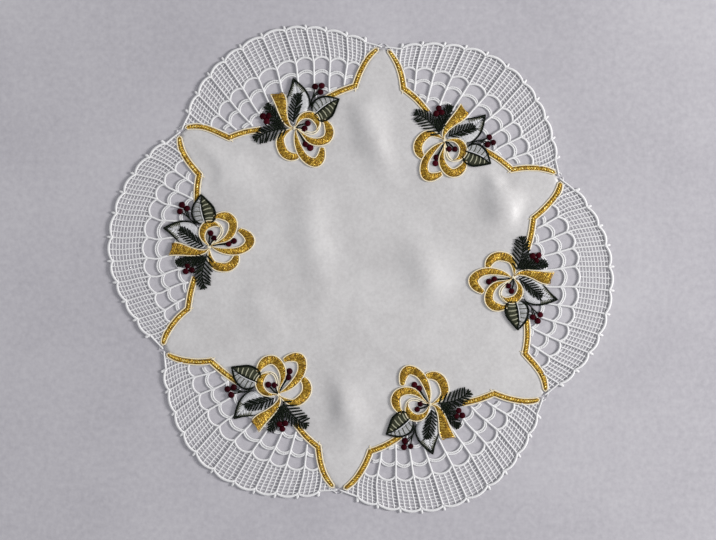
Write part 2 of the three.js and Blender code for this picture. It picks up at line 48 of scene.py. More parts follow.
rng = np.random.default_rng(53)

# ---------------------------------------------------------------- sizes
FANS = 6
FAN_STEP = 60.0
FIRST_AXIS = 53.9
HALF_FAN = 30.0
CENTRE = (1.73, 3.55)

TIP_REACH = 152.0
EDGE_RISE = 21.0
EDGE_POWER = 1.1
TIP_LIFT = 3.1
EDGE_DIP = 2.25
BAND_END = 9.0

SPOKES = [0, 5.5, 10.5, 15.3, 20.4, 25.2]
ROWS = [
    {"name": "one", "reach": 150.6, "fall": 9.0, "at": 22.8, "dip": 3.4},
    {"name": "two", "reach": 141.0, "fall": 5.8, "at": 17.9, "dip": 3.0},
    {"name": "three", "reach": 128.4, "fall": 2.1, "at": 12.3, "dip": 2.4},
]
# The seam from the middle of a fan to the star tip; it falls more steeply on the left.
SEAM_OUT = [(21.9, 125.0), (22.7, 129.5), (23.9, 135.6), (25.8, 143.4), (28.0, 149.2), (30.0, 152.0)]
SEAM_IN = {
    1: [(0, 109.0), (5, 110.0), (9, 112.6), (12.2, 115.7), (16.5, 120.2), (20.2, 123.6), (21.9, 125.0)],
    -1: [(0, 109.0), (5, 110.8), (9, 115.0), (12.2, 118.4), (16.5, 121.7), (20.2, 124.1), (21.9, 125.0)],
}

LAY = [
    {"cuspR": 0.966, "mid": 0.971, "cuspL": 0.987, "tip": 0.985, "turnR": 0.4, "turnM": 0.84, "turnL": 0.55, "turnTip": 0.78, "pullL": -3.2},
    {"cuspR": 0.977, "mid": 0.990, "cuspL": 1.010, "tip": 1.020, "turnR": 0.0, "turnM": 1.50, "turnL": 0.97, "turnTip": -0.08, "pullL": 0.3},
    {"cuspR": 1.023, "mid": 1.010, "cuspL": 0.992, "tip": 0.983, "turnR": -0.5, "turnM": -2.1, "turnL": -0.92, "turnTip": -0.58, "pullL": 0.4},
    {"cuspR": 0.991, "mid": 1.014, "cuspL": 1.033, "tip": 1.028, "turnR": 0.9, "turnM": 1.30, "turnL": 0.42, "turnTip": -0.08, "pullL": -1.5},
    {"cuspR": 1.028, "mid": 1.022, "cuspL": 1.010, "tip": 1.013, "turnR": 0.3, "turnM": -0.5, "turnL": -0.39, "turnTip": -0.08, "pullL": 0.8},
    {"cuspR": 1.014, "mid": 0.990, "cuspL": 0.968, "tip": 0.971, "turnR": -0.9, "turnM": -1.0, "turnL": -0.70, "turnTip": 0.0, "pullL": 3.3},
]
CUSP_AT = 22.3
INNER_TURN = (150.0, 125.0)
PULL = (127.0, 160.0)

RIPPLES = [
    {"x": 6, "y": 89, "bearing": -67, "long": 26, "wide": 11, "high": 2.9},
    {"x": -35, "y": 19, "bearing": -80, "long": 36, "wide": 12, "high": 2.3},
    {"x": 95.5, "y": 41, "bearing": -82, "long": 27, "wide": 13.0, "high": 4.2},
    {"x": 43, "y": -5, "bearing": -60, "long": 20, "wide": 12, "high": 2.4},
    {"x": -69, "y": -34, "bearing": -60, "long": 20, "wide": 12, "high": 1.6},
    {"x": -12, "y": -99, "bearing": -65, "long": 20, "wide": 11.5, "high": 3.2},
    {"x": -92, "y": 64, "bearing": -50, "long": 30, "wide": 18, "high": 1.5},
]
RIPPLE_CLEAR = (28.0, 46.0)
RIPPLE_EDGE = (3.0, 14.0)

SPRAYS = [
    {"reach": 101.8, "bearing": 56.5, "turn": -3.2, "size": 0.97},
    {"reach": 104.9, "bearing": 116.9, "turn": -5.1, "size": 0.995},
    {"reach": 105.6, "bearing": 173.5, "turn": 6.1, "size": 1.0},
    {"reach": 106.8, "bearing": 237.0, "turn": -6.1, "size": 1.02},
    {"reach": 107.0, "bearing": 296.1, "turn": -3.6, "size": 1.0},
    {"reach": 103.5, "bearing": 354.7, "turn": 1.4, "size": 0.99},
]

# Heights of the cloth's parts.
SATIN_LOW, SATIN_TOP = 0.10, 0.75
CORD_Z = 0.50              # middle of the thick lace cords
NET_Z = 0.42               # middle of the fine net's bars

# Half widths and half heights of the threads.
SPOKE = (0.70, 0.52)
RIM = (0.90, 0.60)
ARCH = (0.82, 0.48)
FINE_ARCH = (0.57, 0.42)
BAR = (0.46, 0.28)
BAR_KNOT = (0.62, 0.34)
CROSS = (0.32, 0.22)
CROSS_KNOT = (0.46, 0.26)
NET_PITCH = 2.2            # between the net's cross rows
NET_FIRST = 2.8            # first cross row inside the crown of the edge
NET_COLUMNS = 4            # net columns in one bay
PICOT = 3.6                # a spoke's end past the foot of the scallop
LEAN = 0.11                # how far the spokes turn to the spray, inside
ARCH_POWER = 0.78          # below 1 the arches are fuller than parabolas
NET_TURN = [0.0, 0.0, -0.85, 0.0, 0.0, 0.0]

# ------------------------------------------------------------- the lay
def ease(t):
    s = np.clip(t, 0.0, 1.0)
    return s * s * (3 - 2 * s)


def stations(names, last):
    at, value = [], []
    for k, row in enumerate(LAY):
        axis = FAN_STEP * k
        at += [axis - CUSP_AT, axis, axis + CUSP_AT, axis + HALF_FAN]
        value += [row[names[0]], row[names[1]], row[names[2]], row[last] if last else 0.0]
    return np.array(at + [at[0] + 360]), np.array(value + [value[0]])


SCALE_AT, SCALE = stations(("cuspR", "mid", "cuspL"), "tip")
TURN_AT, TURN = stations(("turnR", "turnM", "turnL"), None)


def between(at, value, deg):
    d = (deg - at[0]) % 360 + at[0]
    i = np.clip(np.searchsorted(at, d, side="left") - 1, 0, len(at) - 2)
    return value[i] + (value[i + 1] - value[i]) * ease((d - at[i]) / (at[i + 1] - at[i]))


TURN_TIP = np.array([row["turnTip"] for row in LAY])
PULL_L = np.array([row["pullL"] for row in LAY])


def lay(reach, deg):
    """Where a place of the even design really lies: x and y in the frame."""
    reach, deg = np.broadcast_arrays(np.asarray(reach, float), np.asarray(deg, float))
    d = deg % 360
    k = np.floor(d / FAN_STEP + 0.5).astype(int) % FANS
    phi = d - k * FAN_STEP
    phi = np.where(phi > HALF_FAN, phi - 360, phi)
    tip_turn = np.where(phi > 0, TURN_TIP[k], TURN_TIP[(k - 1) % FANS])
    turn = tip_turn * ease(np.abs(phi) / HALF_FAN)
    turn = turn + between(TURN_AT, TURN, d) * ease((INNER_TURN[0] - reach) / (INNER_TURN[0] - INNER_TURN[1])) * ease(reach / 60)
    pull = PULL_L[k] * ease((phi - 2) / 16) * ease((HALF_FAN - phi) / 5) * ease((reach - PULL[0]) / (PULL[1] - PULL[0]))
    r = reach * (1 + (between(SCALE_AT, SCALE, d) - 1) * ease(reach / 60)) + pull
    a = np.radians(FIRST_AXIS + d + turn)
    return r * np.cos(a) + CENTRE[0], r * np.sin(a) + CENTRE[1]


def seam_reach(deg):
    deg = np.asarray(deg, float)
    reach = [np.interp(np.abs(deg), *np.array(SEAM_IN[side] + SEAM_OUT[1:]).T) for side in (1, -1)]
    return np.where(deg > 0, reach[0], reach[1])


def edge_crown(deg):
    share = np.minimum(1, np.abs(deg) / HALF_FAN)
    return TIP_REACH + 0.6 + EDGE_RISE * np.cos(np.pi / 2 * share) ** EDGE_POWER + TIP_LIFT * share ** 12


def row_crown(row, deg):
    return row["reach"] - row["fall"] * (np.asarray(deg) / row["at"]) ** 2


def arch(t):
    return np.maximum(0, 4 * t * (1 - t)) ** ARCH_POWER


ALL_SPOKES = np.array([-s for s in SPOKES[:0:-1]] + SPOKES, float)


def bay_share(deg):
    """How far across its bay a bearing is, 0 at the right spoke and 1 at the left."""
    stops = np.concatenate([[-HALF_FAN], ALL_SPOKES, [HALF_FAN]])
    i = np.clip(np.searchsorted(stops, deg, side="right") - 1, 0, len(stops) - 2)
    return (deg - stops[i]) / (stops[i + 1] - stops[i])


def rim_reach(deg):
    """The scalloped edge: arched between the spokes, straight to the star tips."""
    deg = np.asarray(deg, float)
    last = SPOKES[-1]
    foot = edge_crown(last) - EDGE_DIP
    to_tip = foot + (TIP_REACH - 0.6 - foot) * np.clip((np.abs(deg) - last) / (HALF_FAN - last), 0, 1)
    return np.where(np.abs(deg) > last, to_tip, edge_crown(deg) - EDGE_DIP * (1 - arch(bay_share(deg))))


def lean(deg, reach):
    return deg * (1 - LEAN * ease((150 - reach) / 32))


def rise(x, y):
    """The lace lies a little uneven: the rim lifts off in places."""
    dx, dy = x - CENTRE[0], y - CENTRE[1]
    r = np.hypot(dx, dy)
    a = np.arctan2(dy, dx)
    wave = 0.5 + 0.5 * np.sin(5 * a + 0.6) * np.cos(3 * a - 1.1)
    return 0.22 * wave * ease((r - 120) / 45) + 0.08 * np.sin(r / 6.5 + 4 * a) ** 2


# ---------------------------------------------------------- mesh maker
class Cloth:
    """Collects vertices and faces in millimetres and makes one mesh."""

    def __init__(self):
        self.co, self.tone = [], []
        self.quads, self.quad_uv, self.quad_mat = [], [], []
        self.tris, self.tri_uv, self.tri_mat = [], [], []
        self.count = 0

    def push(self, co, tone, quads=None, quad_uv=None, tris=None, tri_uv=None, mat=0):
        co = np.asarray(co, float).reshape(-1, 3)
        self.co.append(co)
        self.tone.append(np.broadcast_to(np.asarray(tone, float), (len(co),)))
        if quads is not None and len(quads):
            self.quads.append(quads + self.count)
            self.quad_uv.append(quad_uv)
            self.quad_mat.append(np.full(len(quads), mat))
        if tris is not None and len(tris):
            self.tris.append(tris + self.count)
            self.tri_uv.append(tri_uv)
            self.tri_mat.append(np.full(len(tris), mat))
        self.count += len(co)

    def triangles(self):
        return 2 * sum(len(q) for q in self.quads) + sum(len(t) for t in self.tris)

    def make(self, name, materials, smooth=True):
        co = np.concatenate(self.co) * MM
        none4, none3 = np.zeros((0, 4), int), np.zeros((0, 3), int)
        quads = np.concatenate(self.quads) if self.quads else none4
        tris = np.concatenate(self.tris) if self.tris else none3
        mesh = bpy.data.meshes.new(name)
        mesh.vertices.add(len(co))
        mesh.vertices.foreach_set("co", co.astype(np.float32).ravel())
        loops = np.concatenate([quads.ravel(), tris.ravel()]).astype(np.int32)
        mesh.loops.add(len(loops))
        mesh.loops.foreach_set("vertex_index", loops)
        starts = np.concatenate([np.arange(len(quads)) * 4, len(quads) * 4 + np.arange(len(tris)) * 3])
        mesh.polygons.add(len(starts))
        mesh.polygons.foreach_set("loop_start", starts.astype(np.int32))
        mats = np.concatenate([np.concatenate(self.quad_mat) if self.quads else [], np.concatenate(self.tri_mat) if self.tris else []])
        mesh.polygons.foreach_set("material_index", mats.astype(np.int32))
        mesh.polygons.foreach_set("use_smooth", np.full(len(starts), smooth))
        uv = np.concatenate(
            [np.concatenate(self.quad_uv).reshape(-1, 2) if self.quads else np.zeros((0, 2)),
             np.concatenate(self.tri_uv).reshape(-1, 2) if self.tris else np.zeros((0, 2))]
        )
        layer = mesh.uv_layers.new(name="thread")
        layer.data.foreach_set("uv", uv.astype(np.float32).ravel())
        tone = mesh.attributes.new("tone", "FLOAT", "POINT")
        tone.data.foreach_set("value", np.concatenate(self.tone).astype(np.float32))
        mesh.update(calc_edges=True)
        mesh.validate()
        for m in materials:
            mesh.materials.append(m)
        obj = bpy.data.objects.new(name, mesh)
        bpy.context.scene.collection.objects.link(obj)
        return obj


def unit(v):
    n = np.linalg.norm(v, axis=-1, keepdims=True)
    return v / np.maximum(n, 1e-9)


def tubes(cloth, paths, wide, high=None, sides=6, mat=0, tone=0.5, tip=0.5):
    """Threads along paths of equal point counts: (count, points, 3)."""
    p = np.asarray(paths, float)
    if p.ndim == 2:
        p = p[None]
    count, n, _ = p.shape
    t = np.empty_like(p)
    t[:, 1:-1] = p[:, 2:] - p[:, :-2]
    t[:, 0] = p[:, 1] - p[:, 0]
    t[:, -1] = p[:, -1] - p[:, -2]
    t = unit(t)
    side = np.stack([-t[..., 1], t[..., 0], np.zeros_like(t[..., 0])], -1)
    flat = np.linalg.norm(side, axis=-1, keepdims=True) > 1e-4
    side = np.where(flat, unit(side), [1.0, 0.0, 0.0])
    up = np.cross(t, side)
    wide = np.broadcast_to(np.asarray(wide, float), (count, n))
    high = wide if high is None else np.broadcast_to(np.asarray(high, float), (count, n))
    a = 2 * np.pi * (np.arange(sides) + 0.5) / sides
    ring = side[:, :, None] * (np.cos(a)[None, None, :, None] * wide[..., None, None])
    ring = ring + up[:, :, None] * (np.sin(a)[None, None, :, None] * high[..., None, None])
    body = (p[:, :, None] + ring).reshape(-1, 3)
    index = np.arange(count * n * sides).reshape(count, n, sides)
    turned = np.roll(index, -1, 2)
    quads = np.stack([index[:, :-1], turned[:, :-1], turned[:, 1:], index[:, 1:]], -1).reshape(-1, 4)
    run = np.concatenate([np.zeros((count, 1)), np.cumsum(np.linalg.norm(np.diff(p, axis=1), axis=-1), 1)], 1)
    ua = np.broadcast_to(run[:, :-1, None], (count, n - 1, sides))
    ub = np.broadcast_to(run[:, 1:, None], (count, n - 1, sides))
    va = np.broadcast_to((np.arange(sides) / sides)[None, None], ua.shape)
    vb = va + 1 / sides
    quad_uv = np.stack([np.stack([ua, va], -1), np.stack([ua, vb], -1), np.stack([ub, vb], -1), np.stack([ub, va], -1)], -2).reshape(-1, 4, 2)
    ends = np.stack([p[:, 0] - t[:, 0] * wide[:, :1] * tip, p[:, -1] + t[:, -1] * wide[:, -1:] * tip], 1).reshape(-1, 3)
    base = count * n * sides
    first = base + 2 * np.arange(count)
    last = first + 1
    start = np.stack([np.broadcast_to(first[:, None], (count, sides)), turned[:, 0], index[:, 0]], -1)
    stop = np.stack([np.broadcast_to(last[:, None], (count, sides)), index[:, -1], turned[:, -1]], -1)
    tris = np.concatenate([start, stop], 1).reshape(-1, 3)
    tri_uv = np.zeros((len(tris), 3, 2))
    tone = np.broadcast_to(np.asarray(tone, float).reshape(-1, 1) if np.ndim(tone) == 1 else np.asarray(tone, float), (count, n))
    tones = np.concatenate([np.repeat(tone.reshape(-1), sides), np.stack([tone[:, 0], tone[:, -1]], 1).reshape(-1)])
    cloth.push(np.concatenate([body, ends]), tones, quads, quad_uv, tris, tri_uv, mat)


def spline(points, per=8):
    """A smooth line through the points; any columns after x and y ride along."""
    p = np.asarray(points, float)
    ext = np.concatenate([[2 * p[0] - p[1]], p, [2 * p[-1] - p[-2]]])
    out = []
    for i in range(1, len(ext) - 2):
        a, b, c, d = ext[i - 1], ext[i], ext[i + 1], ext[i + 2]
        t = (np.arange(per) / per)[:, None]
        out.append(0.5 * (2 * b + (c - a) * t + (2 * a - 5 * b + 4 * c - d) * t ** 2 + (3 * b - a - 3 * c + d) * t ** 3))
    out.append(p[-1:])
    return np.concatenate(out)


def resample(path, step=None, count=None):
    """Even steps along a line, by its first two columns."""
    p = np.asarray(path, float)
    run = np.concatenate([[0], np.cumsum(np.linalg.norm(np.diff(p[:, :2], axis=0), axis=1))])
    n = count or max(2, int(round(run[-1] / step)) + 1)
    s = np.linspace(0, run[-1], n)
    return np.stack([np.interp(s, run, p[:, c]) for c in range(p.shape[1])], 1)


def normals(path):
    """Unit tangent and left normal along a flat line."""
    p = np.asarray(path)[:, :2]
    t = np.gradient(p, axis=0)
    t = t / np.maximum(np.linalg.norm(t, axis=1, keepdims=True), 1e-9)
    return t, np.stack([-t[:, 1], t[:, 0]], 1)


def stitched(cloth, path, half, z, dome, pitch, radius, mat, slant=0.18, sides=4, tone_mid=0.5, tone_spread=0.5, base_mat=None, points=5):
    """A band of satin stitches across a line. half, z and dome may vary along it."""
    columns = [np.asarray(path)[:, :2]]
    for v in (half, z, dome):
        columns.append(np.broadcast_to(np.asarray(v, float), (len(path),))[:, None])
    line = np.concatenate(columns, 1)
    ground = resample(line, step=1.0)
    # the padding under the stitches
    _, n = normals(ground)
    across = np.linspace(-1, 1, 7)
    x = ground[:, None, :2] + n[:, None] * (ground[:, 2, None] * across)[..., None] * 0.97
    zz = ground[:, 3, None] + ground[:, 4, None] * np.sqrt(np.maximum(0, 1 - (across * 0.93) ** 2)) - radius * 0.5
    co = np.concatenate([x, zz[..., None]], -1)
    low = co.copy()
    low[..., 2] = ground[:, 3, None] - 0.25
    m, w = co.shape[:2]
    top = np.arange(m * w).reshape(m, w)
    bottom = top + m * w

    def grid(g, flip):
        q = np.stack([g[:-1, :-1], g[1:, :-1], g[1:, 1:], g[:-1, 1:]], -1).reshape(-1, 4)
        return q[:, ::-1] if flip else q

    edge = np.concatenate([top[:, 0], top[-1, 1:], top[::-1, -1][1:], top[0, ::-1][1:-1]])
    nxt = np.roll(edge, -1)
    wall = np.stack([edge, nxt, nxt + m * w, edge + m * w], 1)
    quads = np.concatenate([grid(top, False), grid(bottom, True), wall])
    cloth.push(np.concatenate([co.reshape(-1, 3), low.reshape(-1, 3)]), tone_mid - 0.3 * tone_spread, quads,
               np.zeros((len(quads), 4, 2)), mat=mat if base_mat is None else base_mat)
    # the stitches
    s = resample(line, step=pitch)
    t, n = normals(s)
    count = len(s)
    w = np.linspace(-1, 1, points)
    tilt = slant + rng.normal(0, 0.05, count)
    tall = 1 + rng.normal(0, 0.10, count)
    reach = s[:, 2] * (1 + rng.normal(0, 0.03, count))
    xy = s[:, None, :2] + n[:, None] * (reach[:, None] * w)[..., None] + t[:, None] * (reach[:, None] * tilt[:, None] * w)[..., None]
    zz = s[:, 3, None] + (s[:, 4] * tall)[:, None] * np.sqrt(np.maximum(0, 1 - (w * 0.97) ** 2))
    paths = np.concatenate([xy, zz[..., None]], -1)
    tone = tone_mid + tone_spread * (rng.random(count) - 0.5)
    tubes(cloth, paths, radius, radius * 0.8, sides=sides, mat=mat, tone=np.clip(tone, 0, 1))


# ------------------------------------------------------------ materials
def ramp(nodes, stops):
    node = nodes.new("ShaderNodeValToRGB")
    items = node.color_ramp.elements
    while len(items) < len(stops):
        items.new(0.5)
    for item, (at, colour) in zip(items, stops):
        item.position = at
        item.color = (*colour, 1)
    return node


def material(name):
    m = bpy.data.materials.new(name)
    m.use_nodes = True
    nodes, links = m.node_tree.nodes, m.node_tree.links
    shader = nodes["Principled BSDF"]
    return m, nodes, links, shader


def math_node(nodes, links, what, a, b=None):
    node = nodes.new("ShaderNodeMath")
    node.operation = what
    for i, v in enumerate((a, b)):
        if v is None:
            continue
        if isinstance(v, (int, float)):
            node.inputs[i].default_value = v
        else:
            links.new(v, node.inputs[i])
    return node.outputs[0]


def noise(nodes, links, vector, scale, detail=2.0, rough=0.5, lacunarity=2.0):
    node = nodes.new("ShaderNodeTexNoise")
    node.inputs["Scale"].default_value = scale
    node.inputs["Detail"].default_value = detail
    node.inputs["Roughness"].default_value = rough
    links.new(vector, node.inputs["Vector"])
    return node.outputs["Fac"]


def wave(nodes, links, vector, period, direction="X", distortion=0.0, phase=0.0):
    node = nodes.new("ShaderNodeTexWave")
    node.wave_type = "BANDS"
    node.bands_direction = direction
    node.inputs["Scale"].default_value = 2 * math.pi / (20 * period)
    node.inputs["Distortion"].default_value = distortion
    node.inputs["Phase Offset"].default_value = phase
    links.new(vector, node.inputs["Vector"])
    return node.outputs["Fac"]


def bump(nodes, links, height, distance, strength, shader, before=None):
    node = nodes.new("ShaderNodeBump")
    node.inputs["Distance"].default_value = distance
    node.inputs["Strength"].default_value = strength
    links.new(height, node.inputs["Height"])
    if before is not None:
        links.new(before, node.inputs["Normal"])
    links.new(node.outputs["Normal"], shader.inputs["Normal"])
    return node.outputs["Normal"]


def mix_add(nodes, links, a, wa, b, wb):
    return math_node(nodes, links, "ADD", math_node(nodes, links, "MULTIPLY", a, wa), math_node(nodes, links, "MULTIPLY", b, wb))


def thread_material(name, stops, rough=0.7, metallic=0.0, sheen=0.0, period=0.34, twist=1, fleck=900.0, fleck_share=0.35, depth=0.00012, strength=0.6, specular=0.4, tone_share=0.65, sheer=0.0):
    """Stitched thread: strands across each cord, colour varied from stitch to stitch."""
    m, nodes, links, shader = material(name)
    if sheer:
        # loose fine thread lets part of the light through to what lies under it
        shadow = nodes.new("ShaderNodeLightPath").outputs["Is Shadow Ray"]
        links.new(math_node(nodes, links, "SUBTRACT", 1.0, math_node(nodes, links, "MULTIPLY", shadow, sheer)), shader.inputs["Alpha"])
    uv = nodes.new("ShaderNodeUVMap")
    uv.uv_map = "thread"
    split = nodes.new("ShaderNodeSeparateXYZ")
    links.new(uv.outputs[0], split.inputs[0])
    # strands run round the cord, a little slanted
    along = math_node(nodes, links, "ADD", split.outputs[0], math_node(nodes, links, "MULTIPLY", split.outputs[1], period * twist))
    join = nodes.new("ShaderNodeCombineXYZ")
    links.new(along, join.inputs[0])
    strands = wave(nodes, links, join.outputs[0], period)
    place = nodes.new("ShaderNodeTexCoord").outputs["Object"]
    grain = noise(nodes, links, place, fleck, 2.0, 0.6)
    tone = nodes.new("ShaderNodeAttribute")
    tone.attribute_name = "tone"
    shade = mix_add(nodes, links, tone.outputs["Fac"], tone_share, grain, fleck_share)
    shade = math_node(nodes, links, "ADD", shade, math_node(nodes, links, "MULTIPLY", strands, 1 - tone_share - fleck_share + 0.12))
    colours = ramp(nodes, stops)
    links.new(shade, colours.inputs[0])
    links.new(colours.outputs[0], shader.inputs["Base Color"])
    shader.inputs["Roughness"].default_value = rough
    shader.inputs["Metallic"].default_value = metallic
    shader.inputs["Sheen Weight"].default_value = sheen
    shader.inputs["Specular IOR Level"].default_value = specular
    height = mix_add(nodes, links, strands, 0.75, grain, 0.35)
    bump(nodes, links, height, depth, strength, shader)
    return m


LACE = thread_material("lace_thread", [(0.0, (0.58, 0.575, 0.59)), (0.5, (0.70, 0.695, 0.705)), (1.0, (0.84, 0.835, 0.84))],
                       rough=0.65, sheen=0.1, period=0.36, fleck=1300, fleck_share=0.3, tone_share=0.3)
NET = thread_material("net_thread", [(0.0, (0.60, 0.595, 0.61)), (0.5, (0.70, 0.695, 0.71)), (1.0, (0.82, 0.815, 0.825))],
                      rough=0.7, sheen=0.1, period=0.36, fleck=1300, fleck_share=0.3, tone_share=0.3, sheer=0.70)
# the cream thread runs to gold-brown at its darkest, mostly between the strands: painted gold-tinted shade
CREAM = thread_material("cream_thread", [(0.0, (0.46, 0.32, 0.12)), (0.5, (0.80, 0.68, 0.44)), (1.0, (0.92, 0.88, 0.74))],
                        rough=0.5, sheen=0.1, period=0.42, fleck=900, fleck_share=0.3, tone_share=0.4)


def gold_material():
    m, nodes, links, shader = material("gold_thread")
    place = nodes.new("ShaderNodeTexCoord").outputs["Object"]
    cells = nodes.new("ShaderNodeTexVoronoi")
    cells.inputs["Scale"].default_value = 1150
    links.new(place, cells.inputs["Vector"])
    pick = nodes.new("ShaderNodeSeparateColor")
    links.new(cells.outputs["Color"], pick.inputs[0])
    small = nodes.new("ShaderNodeTexVoronoi")
    small.inputs["Scale"].default_value = 2500
    links.new(place, small.inputs["Vector"])
    pick_small = nodes.new("ShaderNodeSeparateColor")
    links.new(small.outputs["Color"], pick_small.inputs[0])
    tone = nodes.new("ShaderNodeAttribute")
    tone.attribute_name = "tone"
    # stitches coloured at random from dark brown to pale yellow: partly the thread's own variation, while the darkest
    # cells are painted shade and the palest are painted glints
    shade = mix_add(nodes, links, pick.outputs[0], 0.42, pick_small.outputs[0], 0.20)
    shade = math_node(nodes, links, "ADD", shade, math_node(nodes, links, "MULTIPLY", tone.outputs["Fac"], 0.42))
    colours = ramp(nodes, [(0.12, (0.085, 0.042, 0.003)), (0.34, (0.22, 0.115, 0.008)), (0.55, (0.40, 0.222, 0.018)), (0.72, (0.62, 0.39, 0.045)), (0.86, (0.88, 0.67, 0.15)), (0.96, (0.98, 0.88, 0.44))])
    links.new(shade, colours.inputs[0])
    links.new(colours.outputs[0], shader.inputs["Base Color"])
    shader.inputs["Metallic"].default_value = 0.55
    shader.inputs["Roughness"].default_value = 0.36
    shader.inputs["Specular IOR Level"].default_value = 0.4
    bump(nodes, links, mix_add(nodes, links, cells.outputs["Distance"], -0.8, pick.outputs[1], 0.5), 0.00025, 0.8, shader)
    return m


GOLD = gold_material()
GREEN = thread_material("green_thread", [(0.0, (0.002, 0.0035, 0.002)), (0.6, (0.005, 0.008, 0.0045)), (1.0, (0.018, 0.026, 0.014))],
                        rough=0.5, sheen=0.0, period=0.30, fleck=1100, fleck_share=0.3, tone_share=0.55, specular=0.06)
OLIVE = thread_material("olive_thread", [(0.1, (0.016, 0.018, 0.010)), (0.4, (0.055, 0.058, 0.036)), (0.65, (0.17, 0.17, 0.11)), (1.0, (0.36, 0.36, 0.26))],
                        rough=0.5, period=0.30, fleck=900, fleck_share=0.4, tone_share=0.55, specular=0.06)
SILVER = thread_material("silver_thread", [(0.0, (0.12, 0.125, 0.12)), (0.4, (0.30, 0.31, 0.31)), (0.75, (0.58, 0.58, 0.60)), (1.0, (0.78, 0.78, 0.80))],
                         rough=0.45, period=0.30, fleck=900, fleck_share=0.35, tone_share=0.5)
BERRY = thread_material("berry_thread", [(0.0, (0.005, 0.0003, 0.001)), (0.5, (0.022, 0.0008, 0.003)), (1.0, (0.085, 0.004, 0.011))],
                        rough=0.42, period=0.55, fleck=900, fleck_share=0.35, tone_share=0.5, specular=0.03)


def satin_material():
    m, nodes, links, shader = material("satin_weave")
    place = nodes.new("ShaderNodeTexCoord").outputs["Object"]
    cloudy = noise(nodes, links, place, 26, 3.0, 0.55)
    fine = noise(nodes, links, place, 430, 3.0, 0.6)
    warp = wave(nodes, links, place, 0.00044, "DIAGONAL", 1.2)
    weft = wave(nodes, links, place, 0.00062, "Y", 1.5)
    shade = mix_add(nodes, links, cloudy, 0.50, fine, 0.38)
    shade = math_node(nodes, links, "ADD", shade, math_node(nodes, links, "MULTIPLY", warp, 0.12))
    colours = ramp(nodes, [(0.36, (0.485, 0.472, 0.474)), (0.5, (0.552, 0.540, 0.542)), (0.64, (0.620, 0.609, 0.610))])
    links.new(shade, colours.inputs[0])
    links.new(colours.outputs[0], shader.inputs["Base Color"])
    shader.inputs["Roughness"].default_value = 0.46
    shader.inputs["Specular IOR Level"].default_value = 0.45
    shader.inputs["Sheen Weight"].default_value = 0.15
    shader.inputs["Sheen Roughness"].default_value = 0.4
    height = mix_add(nodes, links, warp, 0.5, weft, 0.3)
    height = math_node(nodes, links, "ADD", height, math_node(nodes, links, "MULTIPLY", fine, 0.5))
    first = bump(nodes, links, height, 0.00008, 0.6, shader)
    soft = noise(nodes, links, place, 90, 2.0, 0.5)
    bump(nodes, links, soft, 0.0006, 0.35, shader, first)
    return m


SATIN = satin_material()


def floor_material():
    m, nodes, links, shader = material("pale_floor")
    place = nodes.new("ShaderNodeTexCoord").outputs["Object"]
    cloudy = noise(nodes, links, place, 9, 3.0, 0.55)
    fine = noise(nodes, links, place, 160, 3.0, 0.6)
    grain = noise(nodes, links, place, 280, 3.0, 0.6)
    shade = mix_add(nodes, links, cloudy, 0.45, fine, 0.15)
    shade = math_node(nodes, links, "ADD", shade, math_node(nodes, links, "MULTIPLY", grain, 0.40))
    colours = ramp(nodes, [(0.38, (0.414, 0.402, 0.436)), (0.5, (0.463, 0.450, 0.484)), (0.62, (0.510, 0.498, 0.529))])
    links.new(shade, colours.inputs[0])
    links.new(colours.outputs[0], shader.inputs["Base Color"])
    shader.inputs["Roughness"].default_value = 0.9
    shader.inputs["Specular IOR Level"].default_value = 0.2
    bump(nodes, links, fine, 0.0004, 0.25, shader)
    return m


# ---------------------------------------------------------------- satin
def flat(deg, reach):
    a = np.radians(FIRST_AXIS + np.asarray(deg, float))
    return np.stack([reach * np.cos(a), reach * np.sin(a)], -1)


def unflat(p):
    reach = np.hypot(p[..., 0], p[..., 1])
    deg = np.degrees(np.arctan2(p[..., 1], p[..., 0])) - FIRST_AXIS
    return lay(reach, deg)


def beside(p, distance):
    """A line moved sideways, with its corners kept sharp; positive is to its left."""
    p = np.asarray(p, float)
    d = unit(np.diff(p, axis=0))
    into = np.concatenate([d[:1], d])
    out = np.concatenate([d, d[-1:]])
    n1 = np.stack([-into[:, 1], into[:, 0]], 1)
    n2 = np.stack([-out[:, 1], out[:, 0]], 1)
    n = unit(n1 + n2)
    scale = distance / np.maximum(0.5, np.sum(n * n1, axis=1))
    return p + n * scale[:, None]


def seam_line(k, side, from_deg=0.0):
    """One side of a fan's seam as points of the even design, 1 mm apart, corner kept."""
    parts = []
    for part in (SEAM_IN[side], SEAM_OUT):
        rows = [(side * d, r) for d, r in part]
        pts = flat(np.array([FAN_STEP * k + d for d, _ in rows]), np.array([r for _, r in rows]))
        parts.append(resample(spline(pts, 10), step=1.0))
    line = np.concatenate([parts[0], parts[1][1:]])
    if from_deg > 0:
        bearing = np.degrees(np.arctan2(line[:, 1], line[:, 0])) - FIRST_AXIS - FAN_STEP * k
        bearing = np.abs((bearing + 180) % 360 - 180)
        line = line[bearing >= from_deg]
    return line


def star_outline(inset):
    points = []
    for k in range(FANS):
        right = beside(seam_line(k, -1), -inset)[::-1]
        left = beside(seam_line(k, 1), inset)[1:]
        # a shared tip stands between neighbours
        points.append(flat(FAN_STEP * k - HALF_FAN, TIP_REACH - 1.4 * inset)[None])
        points.append(right[2:])
        points.append(left[:-2])
    return np.concatenate(points)


KNOTS = [
    (CENTRE[0] + s["reach"] * math.cos(math.radians(s["bearing"])), CENTRE[1] + s["reach"] * math.sin(math.radians(s["bearing"])))
    for s in SPRAYS
]


def edge_distance(x, y, line):
    """Distance from points to a closed line."""
    a = line
    b = np.roll(line, -1, 0)
    ab = b - a
    best = np.full(len(x), 1e9)
    for i in range(len(a)):
        t = np.clip(((x - a[i, 0]) * ab[i, 0] + (y - a[i, 1]) * ab[i, 1]) / max(1e-9, ab[i] @ ab[i]), 0, 1)
        best = np.minimum(best, np.hypot(x - a[i, 0] - t * ab[i, 0], y - a[i, 1] - t * ab[i, 1]))
    return best


